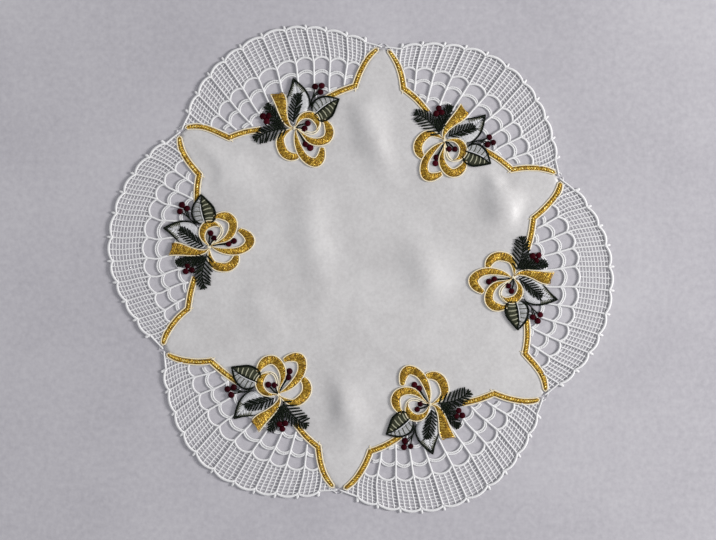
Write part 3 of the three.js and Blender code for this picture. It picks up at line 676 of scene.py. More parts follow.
def ripple(x, y, edge):
    dx, dy = x - CENTRE[0], y - CENTRE[1]
    high = np.zeros_like(x)
    for r in RIPPLES:
        c, s = math.cos(math.radians(r["bearing"])), math.sin(math.radians(r["bearing"]))
        along = (dx - r["x"]) * c + (dy - r["y"]) * s
        across = -(dx - r["x"]) * s + (dy - r["y"]) * c
        high += r["high"] * np.exp(-((along / r["long"]) ** 2) - (across / r["wide"]) ** 2)
    keep = ease((edge - RIPPLE_EDGE[0]) / (RIPPLE_EDGE[1] - RIPPLE_EDGE[0]))
    for kx, ky in KNOTS:
        keep = keep * ease((np.hypot(x - kx, y - ky) - RIPPLE_CLEAR[0]) / (RIPPLE_CLEAR[1] - RIPPLE_CLEAR[0]))
    return high * keep


def inside(x, y, line):
    a, b = line, np.roll(line, -1, 0)
    hit = np.zeros(len(x), bool)
    for (ax, ay), (bx, by) in zip(a, b):
        if ay == by:
            continue
        cross = (ay > y) != (by > y)
        hit ^= cross & (x < (bx - ax) * (y - ay) / (by - ay) + ax)
    return hit


def satin_piece():
    outline = star_outline(1.0)
    ox, oy = unflat(outline)
    line = np.stack([ox, oy], 1)
    step = 1.9
    xs = np.arange(line[:, 0].min(), line[:, 0].max(), step)
    ys = np.arange(line[:, 1].min(), line[:, 1].max(), step * math.sqrt(3) / 2)
    gx, gy = np.meshgrid(xs, ys)
    gx = gx + (np.arange(len(ys)) % 2)[:, None] * step / 2
    gx, gy = gx.ravel(), gy.ravel()
    within = inside(gx, gy, line)
    gx, gy = gx[within], gy[within]
    near = edge_distance(gx, gy, line)
    gx, gy, near = gx[near > 0.75 * step], gy[near > 0.75 * step], near[near > 0.75 * step]
    n = len(line)
    points = [Vector(p) for p in np.concatenate([line, np.stack([gx, gy], 1)])]
    edges = [(i, (i + 1) % n) for i in range(n)]
    verts, _, faces, _, _, _ = delaunay_2d_cdt(points, edges, [], 1, 1e-5)
    xy = np.array([tuple(v) for v in verts])
    faces = np.array([tuple(f) for f in faces if len(f) == 3], int)
    a, b, c = xy[faces[:, 0]], xy[faces[:, 1]], xy[faces[:, 2]]
    turn = (b[:, 0] - a[:, 0]) * (c[:, 1] - a[:, 1]) - (b[:, 1] - a[:, 1]) * (c[:, 0] - a[:, 0])
    faces = np.where(turn[:, None] < 0, faces[:, ::-1], faces)
    edge = edge_distance(xy[:, 0], xy[:, 1], line)
    lift = ripple(xy[:, 0], xy[:, 1], np.maximum(0, edge - 1.5))
    tuck = ease(edge / 3.2)
    top = SATIN_TOP - 0.30 * (1 - tuck) + lift
    low = SATIN_LOW + lift
    cloth = Cloth()
    m = len(xy)
    # the rim of the sheet: edges used by one face only
    pairs = np.concatenate([faces[:, [0, 1]], faces[:, [1, 2]], faces[:, [2, 0]]])
    keys = {(int(p), int(q)) for p, q in pairs}
    rim = np.array([(p, q) for p, q in keys if (q, p) not in keys])
    wall = np.stack([rim[:, 1], rim[:, 0], rim[:, 0] + m, rim[:, 1] + m], 1)
    co = np.concatenate([np.column_stack([xy, top]), np.column_stack([xy, low])])
    tris = np.concatenate([faces, faces[:, ::-1] + m])
    tri_uv = co[tris][..., :2] * 0.01
    cloth.push(co, 0.5, wall, np.zeros((len(wall), 4, 2)), tris, tri_uv)
    x, y = line[:, 0], line[:, 1]
    area = 0.5 * abs(np.sum(x * np.roll(y, -1) - y * np.roll(x, -1)))
    obj = cloth.make("satin_ground", [SATIN])
    size = line.max(0) - line.min(0)
    return obj, size, area


# ------------------------------------------------------------ lace fans
def fan_piece(k):
    cloth = Cloth()
    base = FAN_STEP * k
    side_free = 2.0  # the border's cord covers the ends of the threads

    def at(deg, reach, z):
        deg, reach, z = np.broadcast_arrays(np.asarray(deg, float), np.asarray(reach, float), np.asarray(z, float))
        # one fan's net is pulled round, most of all at its first row of arches
        pulled = NET_TURN[k] * ease((168 - reach) / 20) * (1 - ease((147.5 - reach) / 8)) * (1 - ease((np.abs(deg) - 16) / 8))
        x, y = lay(reach, base + lean(deg, reach) + pulled)
        return np.stack([x, y, z + rise(x, y)], -1)

    def tone(count=None):
        return np.clip(rng.normal(0.55, 0.12, count), 0.1, 1)

    def inner_end(deg):
        return seam_reach(deg) + np.where(np.abs(deg) > BAND_END, side_free, 0.6)

    # the scalloped edge, bay by bay, thick in the middle of each scallop
    stops = np.concatenate([[-HALF_FAN + 0.35], ALL_SPOKES, [HALF_FAN - 0.35]])
    for a, b in zip(stops[:-1], stops[1:]):
        t = np.linspace(0.0, 1.0, 15)
        deg = a + (b - a) * t
        wide = RIM[0] * (0.80 + 0.28 * np.sin(np.pi * t) ** 0.7)
        high = RIM[1] * (0.85 + 0.22 * np.sin(np.pi * t))
        if abs(a + b) / 2 > SPOKES[-1]:
            wide, high = np.full(15, 0.55), np.full(15, 0.5)
        tubes(cloth, at(deg, rim_reach(deg), CORD_Z + 0.28), wide, high, sides=8, tone=tone() + 0.15, tip=0.3)

    # spokes, from the seam through the net to their picots
    for s in ALL_SPOKES:
        low, high = float(inner_end(s)), float(rim_reach(s))
        run = np.linspace(low, high + PICOT, 34)
        wide = SPOKE[0] * (1 - 0.16 * ease((run - float(row_crown(ROWS[0], s))) / 4))
        wide = wide + 0.25 * np.exp(-((run - high) / 1.2) ** 2) + 0.38 * ease((run - high) / 0.9)
        for row in ROWS:
            at_row = float(row_crown(row, s)) - row["dip"]
            wide = wide + 0.14 * np.exp(-((run - at_row) / 1.3) ** 2)
        end = ease((high + PICOT + 0.35 - run) / 0.9)
        wide = wide + 0.16 * np.exp(-((run - high - PICOT + 0.5) / 0.7) ** 2)
        tubes(cloth, at(s, run, CORD_Z + 0.12), wide * (0.5 + 0.5 * end), SPOKE[1] * (0.6 + 0.4 * end), sides=8, tone=tone() + 0.12, tip=0.7)

    # arched rows; two and three are pairs of finer cords tied together
    bays = list(zip(np.concatenate([[-HALF_FAN], ALL_SPOKES]), np.concatenate([ALL_SPOKES, [HALF_FAN]])))
    for r, row in enumerate(ROWS):
        for a, b in bays:
            t = np.linspace(0, 1, 17)
            deg = a + (b - a) * t
            crown = row_crown(row, deg) - row["dip"] * (1 - arch(t))
            clear = crown > seam_reach(deg) + (1.4 if r else 1.0)
            if clear.sum() < 5:
                continue
            t = np.linspace(t[clear][0], t[clear][-1], 15)
            deg = a + (b - a) * t
            crown = row_crown(row, deg) - row["dip"] * (1 - arch(t))
            if r == 0:
                tubes(cloth, at(deg, crown, CORD_Z), ARCH[0] * (0.85 + 0.2 * arch(t)), ARCH[1], sides=8, tone=tone(), tip=0.3)
                continue
            for off, size in ((0.66, 1.0), (-0.72, 1.08)):
                bend = 1 + 0.12 * np.sign(off)
                tubes(cloth, at(deg, crown + off * bend, CORD_Z - 0.05), FINE_ARCH[0] * size, FINE_ARCH[1], sides=6, tone=tone(), tip=0.3)
            tubes(cloth, at(deg, crown - 0.04, CORD_Z - 0.30), 0.42, 0.18, sides=6, tone=tone() - 0.2, tip=0.3)
            ties = np.linspace(deg[1], deg[-2], 9)
            tc = np.interp(ties, deg, crown)
            paths = np.stack([at(ties, tc - 0.75, CORD_Z + 0.12), at(ties + 0.12, tc + 0.6, CORD_Z + 0.12)], 1)
            tubes(cloth, paths, 0.24, 0.18, sides=4, tone=tone(len(ties)))

    # the fine net between row one and the edge
    columns = []
    for a, b in bays:
        for c in range(NET_COLUMNS):
            share = c / NET_COLUMNS
            columns.append((a + (b - a) * share, c == 0))
    columns = [c for c in columns if c[0] > -HALF_FAN + 1.2] + [(bays[-1][0] + (bays[-1][1] - bays[-1][0]) * s, False) for s in ()]
    row = ROWS[0]

    def row_one(deg):
        return row_crown(row, deg) - row["dip"] * (1 - arch(bay_share(deg)))

    offsets = NET_FIRST + NET_PITCH * np.arange(12)
    for deg, is_spoke in columns:
        if is_spoke or abs(deg) > HALF_FAN - 1.2:
            continue
        low = max(float(row_one(deg)), float(inner_end(deg)))
        high = float(rim_reach(deg))
        if high - low < 3:
            continue
        knots = edge_crown(deg) - offsets
        knots = np.sort(knots[(knots > low + 0.7) & (knots < high - 0.7)])
        stops = np.concatenate([[low], knots, [high]])
        mids = (stops[:-1] + stops[1:]) / 2
        run = np.sort(np.concatenate([stops, mids]))
        is_knot = np.isin(run, knots)
        wide = np.where(is_knot, BAR_KNOT[0], BAR[0])
        tall = np.where(is_knot, BAR_KNOT[1], BAR[1])
        sway = rng.normal(0, 0.04, len(run))
        tubes(cloth, at(deg + sway, run, NET_Z), wide, tall, sides=6, mat=1, tone=tone() - 0.1, tip=0.1)

    every = np.array([c[0] for c in columns])
    fine = np.sort(np.concatenate([every, (every[:-1] + every[1:]) / 2]))
    on_column = np.isin(fine, every)
    for off in offsets:
        reach = edge_crown(fine) - off
        clear = (reach > row_one(fine) + 0.6) & (reach > inner_end(fine) - 0.6) & (np.abs(fine) < HALF_FAN - 1.0)
        starts = np.flatnonzero(clear & ~np.concatenate([[False], clear[:-1]]))
        for s in starts:
            e = s
            while e + 1 < len(clear) and clear[e + 1]:
                e += 1
            if e - s < 2:
                continue
            sel = np.arange(s, e + 1)
            wide = np.where(on_column[sel], CROSS_KNOT[0], CROSS[0])
            tall = np.where(on_column[sel], CROSS_KNOT[1], CROSS[1])
            sway = rng.normal(0, 0.07, len(sel))
            tubes(cloth, at(fine[sel], reach[sel] + sway, NET_Z - 0.12), wide, tall, sides=6, mat=1, tone=tone() - 0.2, tip=0.1)

    # the cord that closes the fan along the seam, on both sides
    for side in (-1, 1):
        line = seam_line(k, side, BAND_END)
        line = beside(line, -side * 2.25)
        line = resample(line, step=1.1)
        x, y = unflat(line)
        tubes(cloth, np.stack([x, y, CORD_Z - 0.1 + rise(x, y)], -1), 0.34, 0.36, sides=6, tone=tone(), tip=0.3)
    obj = cloth.make(f"lace_net_{k + 1}", [LACE, NET])
    return obj, cloth


# ---------------------------------------------------------- gold border
GOLD_HALF = 1.58
CORD_AT = 1.96
CORD_R = 0.44
BORDER_START = {1: 12.3, -1: 11.3}   # under the twig on one side, under the leaf on the other


def border_piece(k, side):
    cloth = Cloth()
    line = seam_line(k, side, BORDER_START[side])
    total = np.concatenate([[0], np.cumsum(np.linalg.norm(np.diff(line, axis=0), axis=1))])
    left = total[-1] - total
    keep = left > 4.2
    line, left = line[keep], left[keep]
    share = 0.78 + 0.22 * ease((left - 4) / 8)
    x, y = unflat(line)
    path = np.stack([x, y], 1)
    stitched(cloth, path, GOLD_HALF * share, 0.62, 0.42, 0.55, 0.30, 0, slant=0.30 * side, tone_mid=0.42, tone_spread=0.6)
    # a row of thick stitches, one leaning into the next, down the middle, coloured palest gold as painted glints
    middle = resample(path, step=1.75)
    t, n = normals(middle)
    t = t[1:-1] + side * 0.35 * n[1:-1]
    middle = middle[1:-1]
    w = np.array([-0.85, -0.3, 0.3, 0.85])
    xy = middle[:, None] + t[:, None] * w[None, :, None]
    z = 1.10 + 0.14 * (1 - (w / 0.85) ** 2)
    thick = 0.50 * np.array([0.55, 1.0, 1.0, 0.55])
    tubes(cloth, np.concatenate([xy, np.broadcast_to(z, xy.shape[:2])[..., None]], -1), thick, thick * 0.6, sides=6, mat=0,
          tone=np.clip(rng.normal(0.95, 0.12, len(middle)), 0, 1.2), tip=0.5)
    # cream cords along both sides and round the end
    one = beside(line, CORD_AT)
    two = beside(line, -CORD_AT)
    mid = line
    one = mid + (one - mid) * share[:, None]
    two = mid + (two - mid) * share[:, None]
    tip = line[-1] + unit((line[-1] - line[-3])[None])[0] * CORD_AT * 0.75
    cord = np.concatenate([one, tip[None], two[::-1]])
    cord = resample(cord, step=0.9)
    x, y = unflat(cord)
    tubes(cloth, np.stack([x, y, np.full(len(x), 0.78)], -1), CORD_R, CORD_R, sides=6, mat=1, tone=0.6, tip=0.3)
    # the little thread spur at the corner, pointing into the satin
    bearing = FAN_STEP * k + side * 22.0
    reach = np.linspace(124.0, 121.2, 5)
    x, y = lay(reach, np.full(5, bearing))
    tubes(cloth, np.stack([x, y, np.linspace(0.85, 0.8, 5)], -1), np.linspace(0.42, 0.25, 5), sides=6, mat=1, tone=0.55, tip=0.6)
    name = "left" if side > 0 else "right"
    return cloth.make(f"gold_edging_{k + 1}_{name}", [GOLD, CREAM])


# --------------------------------------------------------------- sprays
# The spray is drawn on a grid: u to the right, v outwards from the knot.
GRID = 0.686   # mm
# Each ribbon along its middle: u, v, half width.
LOOPS = [
    {"name": "left", "lift": 0.00, "end": True, "at": [(-1.3, 0.3, 0.6), (-6.3, -0.1, 1.9), (-11.8, -1.2, 3.1), (-16.2, -3.6, 4.0), (-18.8, -7.4, 4.8), (-19.9, -12.7, 5.1), (-19.6, -18.2, 5.2), (-17.3, -22.7, 5.1), (-13.8, -25.6, 4.7), (-10.2, -26.8, 4.0), (-7.6, -27.3, 3.2)]},
    {"name": "long", "lift": 0.14, "end": True, "at": [(0.6, -2.0, 0.5), (-1.0, -5.2, 1.6), (-2.5, -9.6, 2.6), (-3.6, -15.0, 3.4), (-4.0, -21.0, 4.0), (-3.6, -27.1, 4.3), (-1.7, -32.9, 4.5), (2.0, -37.9, 5.0), (6.8, -40.4, 5.4), (11.7, -38.4, 5.0), (15.5, -33.7, 3.9), (17.6, -29.4, 2.8)]},
    {"name": "right", "lift": 0.28, "end": False, "at": [(29.6, -4.6, 2.4), (31.2, -8.0, 3.3), (31.5, -13.1, 4.6), (30.2, -18.3, 5.1), (25.8, -22.6, 5.0), (19.3, -23.1, 4.7), (13.1, -20.7, 4.2), (8.7, -16.7, 3.4), (6.2, -12.1, 2.3), (4.2, -7.1, 1.2), (1.6, -1.7, 0.6)]},
    {"name": "inner", "lift": 0.42, "end": False, "at": [(1.8, 0.9, 0.8), (6.0, 5.0, 2.0), (10.3, 7.1, 3.1), (15.0, 7.2, 3.9), (19.2, 5.6, 4.3), (22.2, 2.5, 4.5), (23.3, -1.9, 3.9), (22.8, -5.9, 2.7), (21.4, -8.6, 1.4), (19.9, -10.3, 0.7)]},
]
TAIL = [(-1.5, 0.8, 0.8), (-4.2, 4.2, 2.0), (-5.2, 8.3, 3.1), (-5.6, 11.7, 3.7), (-5.1, 16.7, 4.4), (-4.3, 21.7, 5.2), (-3.2, 26.7, 6.1), (-2.5, 31.7, 6.7), (-2.5, 37.6, 7.1)]
TAIL_SLANT = 0.40
# Cords that close the inner loop and run back to the knot.
CLOSING = [
    [(26.4, -4.5), (24.2, -8.6), (20.6, -11.9), (16.0, -13.3), (11.6, -11.8), (7.4, -8.4), (3.8, -4.6), (1.0, -0.9)],
    [(20.2, -10.4), (17.0, -11.4), (12.8, -10.2), (8.8, -7.2), (5.0, -3.8), (1.6, -0.6)],
]
# Leaves by their edges and their rib, each from the base to the tip.
LEAVES = [
    {"name": "large",
     "left": [(-0.6, 5.0), (-1.3, 9.0), (-0.8, 14.0), (0.9, 20.0), (3.0, 26.0), (5.4, 31.0), (9.5, 35.2), (14.2, 40.0), (18.3, 46.0)],
     "rib": [(1.0, 4.0), (4.2, 10.0), (8.4, 17.0), (12.4, 23.4), (15.6, 31.0), (17.2, 38.0), (18.3, 46.0)],
     "right": [(3.0, 3.5), (9.0, 6.5), (16.0, 10.5), (22.4, 14.0), (25.0, 20.0), (25.4, 27.0), (23.8, 33.5), (21.2, 39.5), (18.3, 46.0)],
     "dark": (0.58, 0.36)},
    {"name": "small",
     "left": [(23.0, 8.0), (24.3, 12.4), (27.4, 15.8), (31.2, 17.6), (35.3, 17.9), (40.3, 17.0), (44.5, 14.9), (48.2, 12.2), (52.4, 9.0)],
     "rib": [(24.0, 4.0), (27.0, 5.2), (32.0, 6.9), (38.7, 8.5), (45.3, 9.2), (52.4, 9.0)],
     "right": [(24.0, 2.0), (25.5, -2.5), (28.3, -4.9), (32.0, -5.5), (37.0, -4.6), (41.2, -2.4), (44.5, 0.8), (48.0, 4.5), (52.4, 9.0)],
     "dark": (0.0, 0.0)},
]
TWIGS = [
    {"name": "upper", "axis": [(-9.6, 3.0), (-12.2, 13.0), (-13.8, 22.0), (-15.3, 30.0)], "pairs": (9, 9), "length": (8.4, 6.6), "angle": (50, 40), "thick": 0.66},
    {"name": "side", "axis": [(-7.5, 2.5), (-14.5, 4.6), (-23.0, 6.4), (-31.0, 6.6), (-37.5, 5.2)], "pairs": (8, 11), "length": (11.0, 9.2), "angle": (60, 50), "thick": 0.66},
]
SPRIG = {"axis": [(1.2, 5.5), (5.6, 13.4), (10.6, 20.6), (15.6, 27.6)], "pairs": (9, 8), "length": (7.8, 9.0), "angle": (54, 38), "thick": 0.62}
BERRY_R = 3.2
BERRIES = [
    (35.2, 30.1), (41.7, 28.2), (38.2, 22.9),
    (-24.6, 23.2), (-19.0, 21.4), (-23.2, 17.2),
    (8.9, -4.6), (14.0, -0.9), (3.8, -19.2), (6.6, -24.5),
]
STEMS = [
    ([(24.0, 13.5), (26.5, 18.4), (29.8, 22.0), (32.6, 25.6), (34.2, 28.4)], 0.62), ([(30.0, 21.8), (34.0, 23.8), (39.4, 27.0)], 0.5), ([(28.6, 20.4), (32.6, 21.6), (36.6, 22.6)], 0.5),
    ([(-11.8, 14.0), (-15.4, 17.2), (-18.4, 20.4)], 0.5), ([(-12.2, 11.6), (-17.0, 14.4), (-22.0, 17.0)], 0.5),
    ([(1.2, 0.0), (4.4, 0.4), (8.0, 0.1), (12.4, -0.6)], 0.75), ([(1.5, -0.8), (4.0, -1.8), (7.6, -3.9)], 0.7),
    ([(1.6, -3.4), (2.6, -9.0), (3.2, -16.4)], 0.7), ([(2.2, -4.4), (3.8, -11.0), (6.0, -22.4)], 0.6),
]
# What each spray differs from the even drawing: right, outwards, and degrees.
NUDGE = [(-0.30, -0.35, 0.12), (0.53, -0.50, 1.29), (-0.58, 0.72, -0.62), (-0.31, -0.10, -1.14), (1.27, -0.15, 1.72), (-0.61, 0.38, -1.37)]
SPRAY_Z = 0.95


def spray_piece(k):
    place = SPRAYS[k]
    right, outward, turned_by = NUDGE[k]
    cloth = Cloth()
    out = math.radians(place["bearing"] + place["turn"] + turned_by)
    c, s, size = math.cos(out), math.sin(out), place["size"] * GRID
    kx, ky = KNOTS[k]

    def put(uv):
        uv = np.asarray(uv, float)
        u, v = uv[..., 0] * size + right * GRID, uv[..., 1] * size + outward * GRID
        return np.stack([kx + v * c + u * s, ky + v * s - u * c], -1)

    def put3(uv, z):
        xy = put(uv)
        return np.concatenate([xy, np.broadcast_to(np.asarray(z, float), xy.shape[:-1])[..., None]], -1)

    gold, cream, green, olive, silver, berry, white = range(7)

    def cord(points, z, r, mat, tone=0.6, step=1.2, flatten=1.0, fade=False):
        line = resample(spline(points, 6), step=step)
        if len(line) < 3:
            line = resample(line, count=3)
        wide = np.full(len(line), float(r))
        if fade:
            wide = wide * (0.55 + 0.45 * np.sin(np.pi * np.linspace(0.1, 0.9, len(line))))
        tubes(cloth, put3(line[:, :2], z), wide, wide * flatten, sides=6, mat=mat, tone=tone, tip=0.6)

    for leaf in LEAVES:
        edges = {name: resample(spline(leaf[name], 8), count=61) for name in ("left", "right")}
        rib = resample(spline(leaf["rib"], 8), count=61)
        share = np.linspace(0, 1, 61)
        large = leaf["name"] == "large"
        zl = SPRAY_Z + (0.10 if large else 0.55)

        def along(line, q):
            q = np.clip(q, 0, 1)
            return np.stack([np.interp(q, share, line[:, 0]), np.interp(q, share, line[:, 1])], -1)

        # the ground: strands side by side from the rib to the edge
        for name in ("left", "right"):
            if large:
                fill, mid, spread = silver, 0.92, 0.25
            elif name == "left":
                fill, mid, spread = silver, 0.36, 0.50
            else:
                fill, mid, spread = olive, 0.02, 0.25
            rows = 58
            q = np.linspace(0.0, 0.97, rows)
            root, head = along(rib, q - 0.02), along(edges[name], np.minimum(q + 0.05, 0.99))
            w = np.linspace(0, 1, 4)[None, :, None]
            lines = root[:, None] * (1 - w) + head[:, None] * w
            bulge = np.sin(np.pi * w[..., 0]) * 0.25 * np.ones((rows, 1))
            width = np.linalg.norm(np.gradient(edges[name], axis=0), axis=1).mean() * 60 / rows * size * 0.62
            tubes(cloth, put3(lines, zl + bulge), width, 0.16, sides=4, mat=fill, tone=np.clip(mid + spread * (rng.random(rows) - 0.5), 0, 1.2), tip=0.1)

        if large:
            # dark stitches reaching in from both edges towards the tip
            for name, first, sign in (("left", 0.64, -1), ("right", 0.70, 1)):
                for q in np.linspace(first, 0.97, 9):
                    deep = 0.62 if q > 0.85 else 0.42
                    root = along(edges[name], q)
                    end = along(rib, q - 0.10) * deep + root * (1 - deep)
                    cord(np.stack([root, (root + end) / 2, end]), zl + 0.34, 0.40, olive if q < 0.9 else green, 0.25 + 0.3 * rng.random(), flatten=0.6, fade=True)
            for q in (0.60, 0.66, 0.72, 0.78):
                root = along(rib, q)
                end = along(edges["left"], q + 0.04) * 0.7 + root * 0.3
                cord(np.stack([root, (root + end) / 2, end]), zl + 0.30, 0.36, silver, 1.1, flatten=0.6)
        else:
            # rib, a brighter silver line along it near the base as a painted highlight, light veins below it and thin
            # dark ones above
            cord(rib[::6] + [0, -0.3], zl + 0.40, 0.46, green, 0.3, flatten=0.8)
            cord(rib[4:42:6] + [0, 1.0], zl + 0.36, 0.38, silver, 0.9, flatten=0.8)
            for q in (0.16, 0.30, 0.44, 0.58, 0.72):
                root = along(rib, q)
                end = along(edges["right"], q + 0.10) * 0.78 + root * 0.22
                cord(np.stack([root * 0.85 + end * 0.15, (root + end) / 2 + [0.5, -0.2], end]), zl + 0.38, 0.50, olive, 1.25, flatten=0.6, fade=True)
            for q in (0.12, 0.26, 0.40, 0.54, 0.68, 0.8):
                root = along(rib, q)
                end = along(edges["left"], q + 0.06) * 0.85 + root * 0.15
                cord(np.stack([root, (root + end) / 2 + [0.4, 0], end]), zl + 0.34, 0.30, olive, 0.15, flatten=0.6)
        # satin-stitched dark outline
        for name, start in zip(("left", "right"), leaf["dark"]):
            line = resample(edges[name][int(60 * start):], step=0.6)
            span = np.linspace(0, 1, len(line))
            half = 0.52 * ease(span / 0.12) * (1.0 - 0.35 * ease((span - 0.85) / 0.15)) + 0.10
            if large:
                half = half * (0.55 + 0.6 * ease(span / 0.7))
            stitched(cloth, put(line), half, zl + 0.10, 0.40, 0.5, 0.25, green, slant=0.5, tone_mid=0.4, tone_spread=0.5, points=4)

    # twigs: a stem with needles side by side
    def twig(spec, z):
        line = resample(spline(np.array(spec["axis"]), 8), count=61)
        t, n = normals(line)
        tubes(cloth, put3(line[::5, :2], z - 0.05), 0.40, 0.34, sides=6, mat=green, tone=0.3, tip=0.5)
        roots, dirs, lens = [], [], []
        for side in (0, 1):
            for i in range(spec["pairs"][side]):
                q = 0.02 + 0.96 * (i + 0.5 * side) / (spec["pairs"][side] - 0.5)
                j = int(round(min(1, q) * 60))
                grow = 0.80 + 0.28 * math.sin(math.pi * min(1, q * 0.9 + 0.1)) - 0.34 * max(0, q - 0.6)
                angle = math.radians(spec["angle"][side] + rng.normal(0, 1.2) - 8 * q) * (1 if side == 0 else -1)
                ca, sa = math.cos(angle), math.sin(angle)
                roots.append(line[j, :2])
                dirs.append([t[j, 0] * ca - t[j, 1] * sa, t[j, 0] * sa + t[j, 1] * ca])
                lens.append(spec["length"][side] * grow * (1 + rng.normal(0, 0.04)))
        for push in (0.0, 0.55, -0.55):
            roots.append(line[-1, :2])
            ca, sa = math.cos(push), math.sin(push)
            dirs.append([t[-1, 0] * ca - t[-1, 1] * sa, t[-1, 0] * sa + t[-1, 1] * ca])
            lens.append(spec["length"][0] * 0.45)
        roots, dirs, lens = np.array(roots), np.array(dirs), np.array(lens)
        w = np.array([0.0, 0.22, 0.5, 0.8, 1.0])
        side = np.stack([-dirs[:, 1], dirs[:, 0]], 1)
        pts = roots[:, None] + dirs[:, None] * (lens[:, None] * w)[..., None] + side[:, None] * (0.25 * lens[:, None] * (w - w ** 2) * rng.normal(0, 0.3, (len(roots), 1)))[..., None]
        zz = z + 0.14 * np.sin(np.pi * w)[None] + 0.06 * rng.random((len(roots), 1))
        thick = spec["thick"] * np.array([0.7, 0.95, 1.05, 1.0, 0.7])
        tubes(cloth, put3(pts, zz), thick, thick * 0.7, sides=6, mat=green, tone=np.clip(rng.normal(0.35, 0.2, len(roots)), 0, 1), tip=0.7)

    for spec, up in zip(TWIGS, (0.42, 0.34)):
        twig(spec, SPRAY_Z + up)
    twig(SPRIG, SPRAY_Z + 0.50)

    for stem, thick in STEMS:
        cord(stem, SPRAY_Z + 0.42, thick * 0.8, green, 0.4, flatten=0.8)

    # the ribbon: tail and loops, a cream cord along each side
    ribbons = [{"name": "tail", "lift": 0.30, "end": False, "at": TAIL}] + LOOPS
    for ribbon in ribbons:
        line = resample(spline(np.array(ribbon["at"]), 8), step=0.9)
        _, n = normals(line)
        half = line[:, 2]
        tail = ribbon["name"] == "tail"
        gold_half = np.maximum(0.3, half - 0.95)
        z = SPRAY_Z + 0.05 + ribbon["lift"]
        stitched(cloth, put(line[:, :2]), gold_half * size, z, 0.42, 0.60, 0.33, gold,
                 slant=TAIL_SLANT if tail else 0.32, tone_mid=0.5, tone_spread=0.7)
        for sgn in (1, -1):
            off = line[:, :2] + n * sgn * (half - 0.55)[:, None]
            if tail:
                off = off + np.stack([np.zeros(len(off)), ease((np.arange(len(off)) / len(off) - 0.7) / 0.3) * TAIL_SLANT * sgn * (half - 0.55)], 1)
            wide = 0.43 * (0.72 + 0.28 * ease(half / 2))
            tubes(cloth, put3(off, z + 0.14), wide, wide, sides=6, mat=cream, tone=0.6, tip=0.5)
        if ribbon["end"]:
            a, b = line[-1, :2] + n[-1] * (half[-1] - 0.5), line[-1, :2] - n[-1] * (half[-1] - 0.5)
            ahead = unit((line[-1, :2] - line[-2, :2])[None])[0]
            cord(np.stack([a, (a + b) / 2 + ahead * 0.5, b]), z + 0.12, 0.38, cream, 0.6, step=0.9)
        if tail:
            a = line[-1, :2] + n[-1] * half[-1] * 0.85 + [0, TAIL_SLANT * half[-1] * 0.85 + 0.4]
            b = line[-1, :2] - n[-1] * half[-1] * 0.85 - [0, TAIL_SLANT * half[-1] * 0.85 - 0.4]
            cord(np.stack([a, (a + b) / 2 - [0, 0.4], b]), z + 0.05, 0.26, cream, 0.15, step=0.9)
    for line in CLOSING:
        cord(line, SPRAY_Z + 0.28, 0.42, cream, 0.9)

    # cords crossing over the knot
    for angle in (25, 75, 130):
        d = np.array([math.cos(math.radians(angle)), math.sin(math.radians(angle))])
        cord(np.stack([-d * 1.9, d * 0.1, d * 1.9]), SPRAY_Z + 0.85, 0.34, cream, 0.85, step=0.7)

    # berries: domes of satin stitch
    seg, rings = 16, 6
    for bu, bv in BERRIES:
        a = 2 * np.pi * np.arange(seg) / seg
        h = np.linspace(0, 1, rings + 1)[:-1]
        r = BERRY_R * np.sqrt(1 - (h * 0.96) ** 2) * (1 + 0.04 * rng.normal())
        base, tall = SPRAY_Z - 0.15, 1.45
        u = bu + r[:, None] * np.cos(a)
        v = bv + r[:, None] * np.sin(a)
        co = put3(np.stack([u, v], -1), base + tall * h[:, None] * np.ones((1, seg)))
        top = put3(np.array([[bu, bv]]), base + tall)
        low = put3(np.array([[bu, bv]]), base - 0.05)
        idx = np.arange(rings * seg).reshape(rings, seg)
        turned = np.roll(idx, -1, 1)
        quads = np.stack([idx[:-1], turned[:-1], turned[1:], idx[1:]], -1).reshape(-1, 4)
        tri_top = np.stack([idx[-1], turned[-1], np.full(seg, rings * seg)], -1)
        tri_low = np.stack([turned[0], idx[0], np.full(seg, rings * seg + 1)], -1)
        flat_uv = np.concatenate([np.stack([u, v], -1).reshape(-1, 2), [[bu, bv]] * 2]) * GRID
        tris = np.concatenate([tri_top, tri_low])
        cloth.push(np.concatenate([co.reshape(-1, 3), top, low]), np.clip(rng.normal(0.42, 0.15), 0, 1), quads, flat_uv[quads], tris, flat_uv[tris], mat=berry)
    obj = cloth.make(f"embroidery_{k + 1}", [GOLD, CREAM, GREEN, OLIVE, SILVER, BERRY, LACE])
    return obj, cloth


# --------------------------------------------------------------- build
pieces = []
satin, satin_size, satin_area = satin_piece()
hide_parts("centre_cloth")
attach(satin, "root")
count = {"satin": sum(len(p.vertices) - 2 for p in satin.data.polygons)}

fans = []
for k in range(FANS):
    obj, cloth = fan_piece(k)
    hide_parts(f"lace_fan_{k + 1}")
    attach(obj, "root")
    fans.append(obj)
    count[obj.name] = cloth.triangles()

for k in range(FANS):
    for side, name in ((1, "left"), (-1, "right")):
        obj = border_piece(k, side)
        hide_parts(f"gold_border_{k + 1}_{name}")
        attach(obj, "root")
        count[obj.name] = sum(len(p.vertices) - 2 for p in obj.data.polygons)

for k in range(FANS):
    obj, cloth = spray_piece(k)
    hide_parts(f"spray_{k + 1}")
    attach(obj, "root")
    count[obj.name] = cloth.triangles()


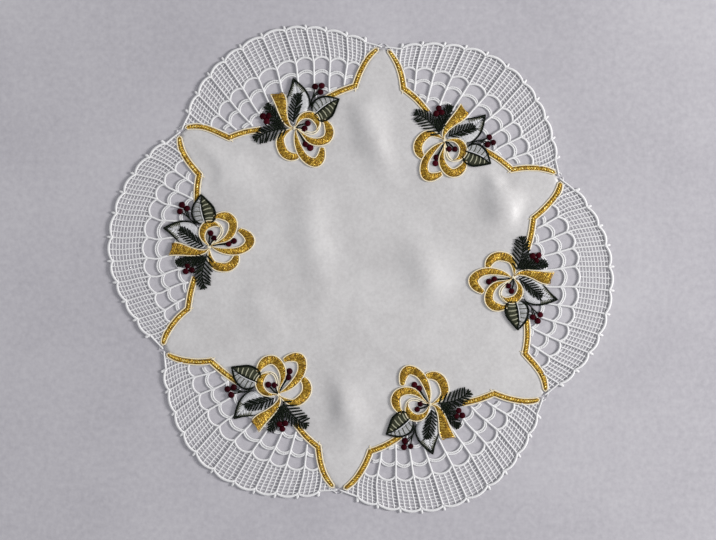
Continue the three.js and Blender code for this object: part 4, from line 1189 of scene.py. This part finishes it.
def lace_area():
    """Flat area of one fan in square mm: the net counted as cloth, and in the
    windows only the cords, each by its length and width."""
    deg = np.linspace(-HALF_FAN, HALF_FAN, 1201)
    step = math.radians(deg[1] - deg[0])
    inner = np.maximum(seam_reach(deg), row_crown(ROWS[0], deg) - ROWS[0]["dip"] * (1 - arch(bay_share(deg))))
    area = float(np.sum((rim_reach(deg) ** 2 - inner ** 2) / 2 * step))
    for row, width in zip(ROWS, (2 * ARCH[0], 4 * FINE_ARCH[0], 4 * FINE_ARCH[0])):
        crown = row_crown(row, deg) - row["dip"] * (1 - arch(bay_share(deg)))
        length = np.hypot(np.diff(crown), (crown[1:] + crown[:-1]) / 2 * step)
        area += width * float(length[(crown > seam_reach(deg))[1:]].sum())
    for s in ALL_SPOKES:
        area += 2 * SPOKE[0] * max(0.0, float(row_crown(ROWS[0], s)) - ROWS[0]["dip"] - float(seam_reach(s)))
    return area


lace_flat_area = lace_area()
for k, obj in enumerate(fans):
    co = np.empty(len(obj.data.vertices) * 3)
    obj.data.vertices.foreach_get("co", co)
    co = co.reshape(-1, 3)[:, :2]
print("lace area", lace_flat_area)

print("triangles", sum(count.values()), count)

# ---------------------------------------------------------------- stage
floor_mesh = bpy.data.meshes.new("floor")
side_len = 3.0
floor_mesh.from_pydata([(-side_len, -side_len, 0), (side_len, -side_len, 0), (side_len, side_len, 0), (-side_len, side_len, 0)], [], [(0, 1, 2, 3)])
floor_mesh.materials.append(floor_material())
floor = bpy.data.objects.new("floor", floor_mesh)
bpy.context.scene.collection.objects.link(floor)

# Soft light from the right, a little low, and a pale surrounding.
key_data = bpy.data.lights.new("key", "AREA")
key_data.shape = "SQUARE"
key_data.size = 0.5
key_data.energy = 55.0
key_data.color = (1.0, 0.985, 0.965)
key = bpy.data.objects.new("key", key_data)
key.location = (2.0, 0.12, 0.86)
key.rotation_euler = (Vector((0, 0, 0)) - key.location).to_track_quat("-Z", "Y").to_euler()
bpy.context.scene.collection.objects.link(key)

world = bpy.data.worlds.new("surrounding")
bpy.context.scene.world = world
world.use_nodes = True
background = world.node_tree.nodes["Background"]
background.inputs["Color"].default_value = (0.96, 0.97, 1.0, 1)
background.inputs["Strength"].default_value = 0.56

bpy.context.scene.view_settings.view_transform = "Standard"

# Camera straight above, framed as the photograph.
camera_data = bpy.data.cameras.new("camera")
camera_data.lens = 85
camera_data.sensor_width = 36
view_width = 0.4912
camera = bpy.data.objects.new("camera", camera_data)
camera.location = (-0.0017, -0.00057, 0.001 + view_width * camera_data.lens / camera_data.sensor_width)
camera.rotation_euler = (0, 0, 0)
bpy.context.scene.collection.objects.link(camera)
bpy.context.scene.camera = camera

bpy.context.view_layer.update()
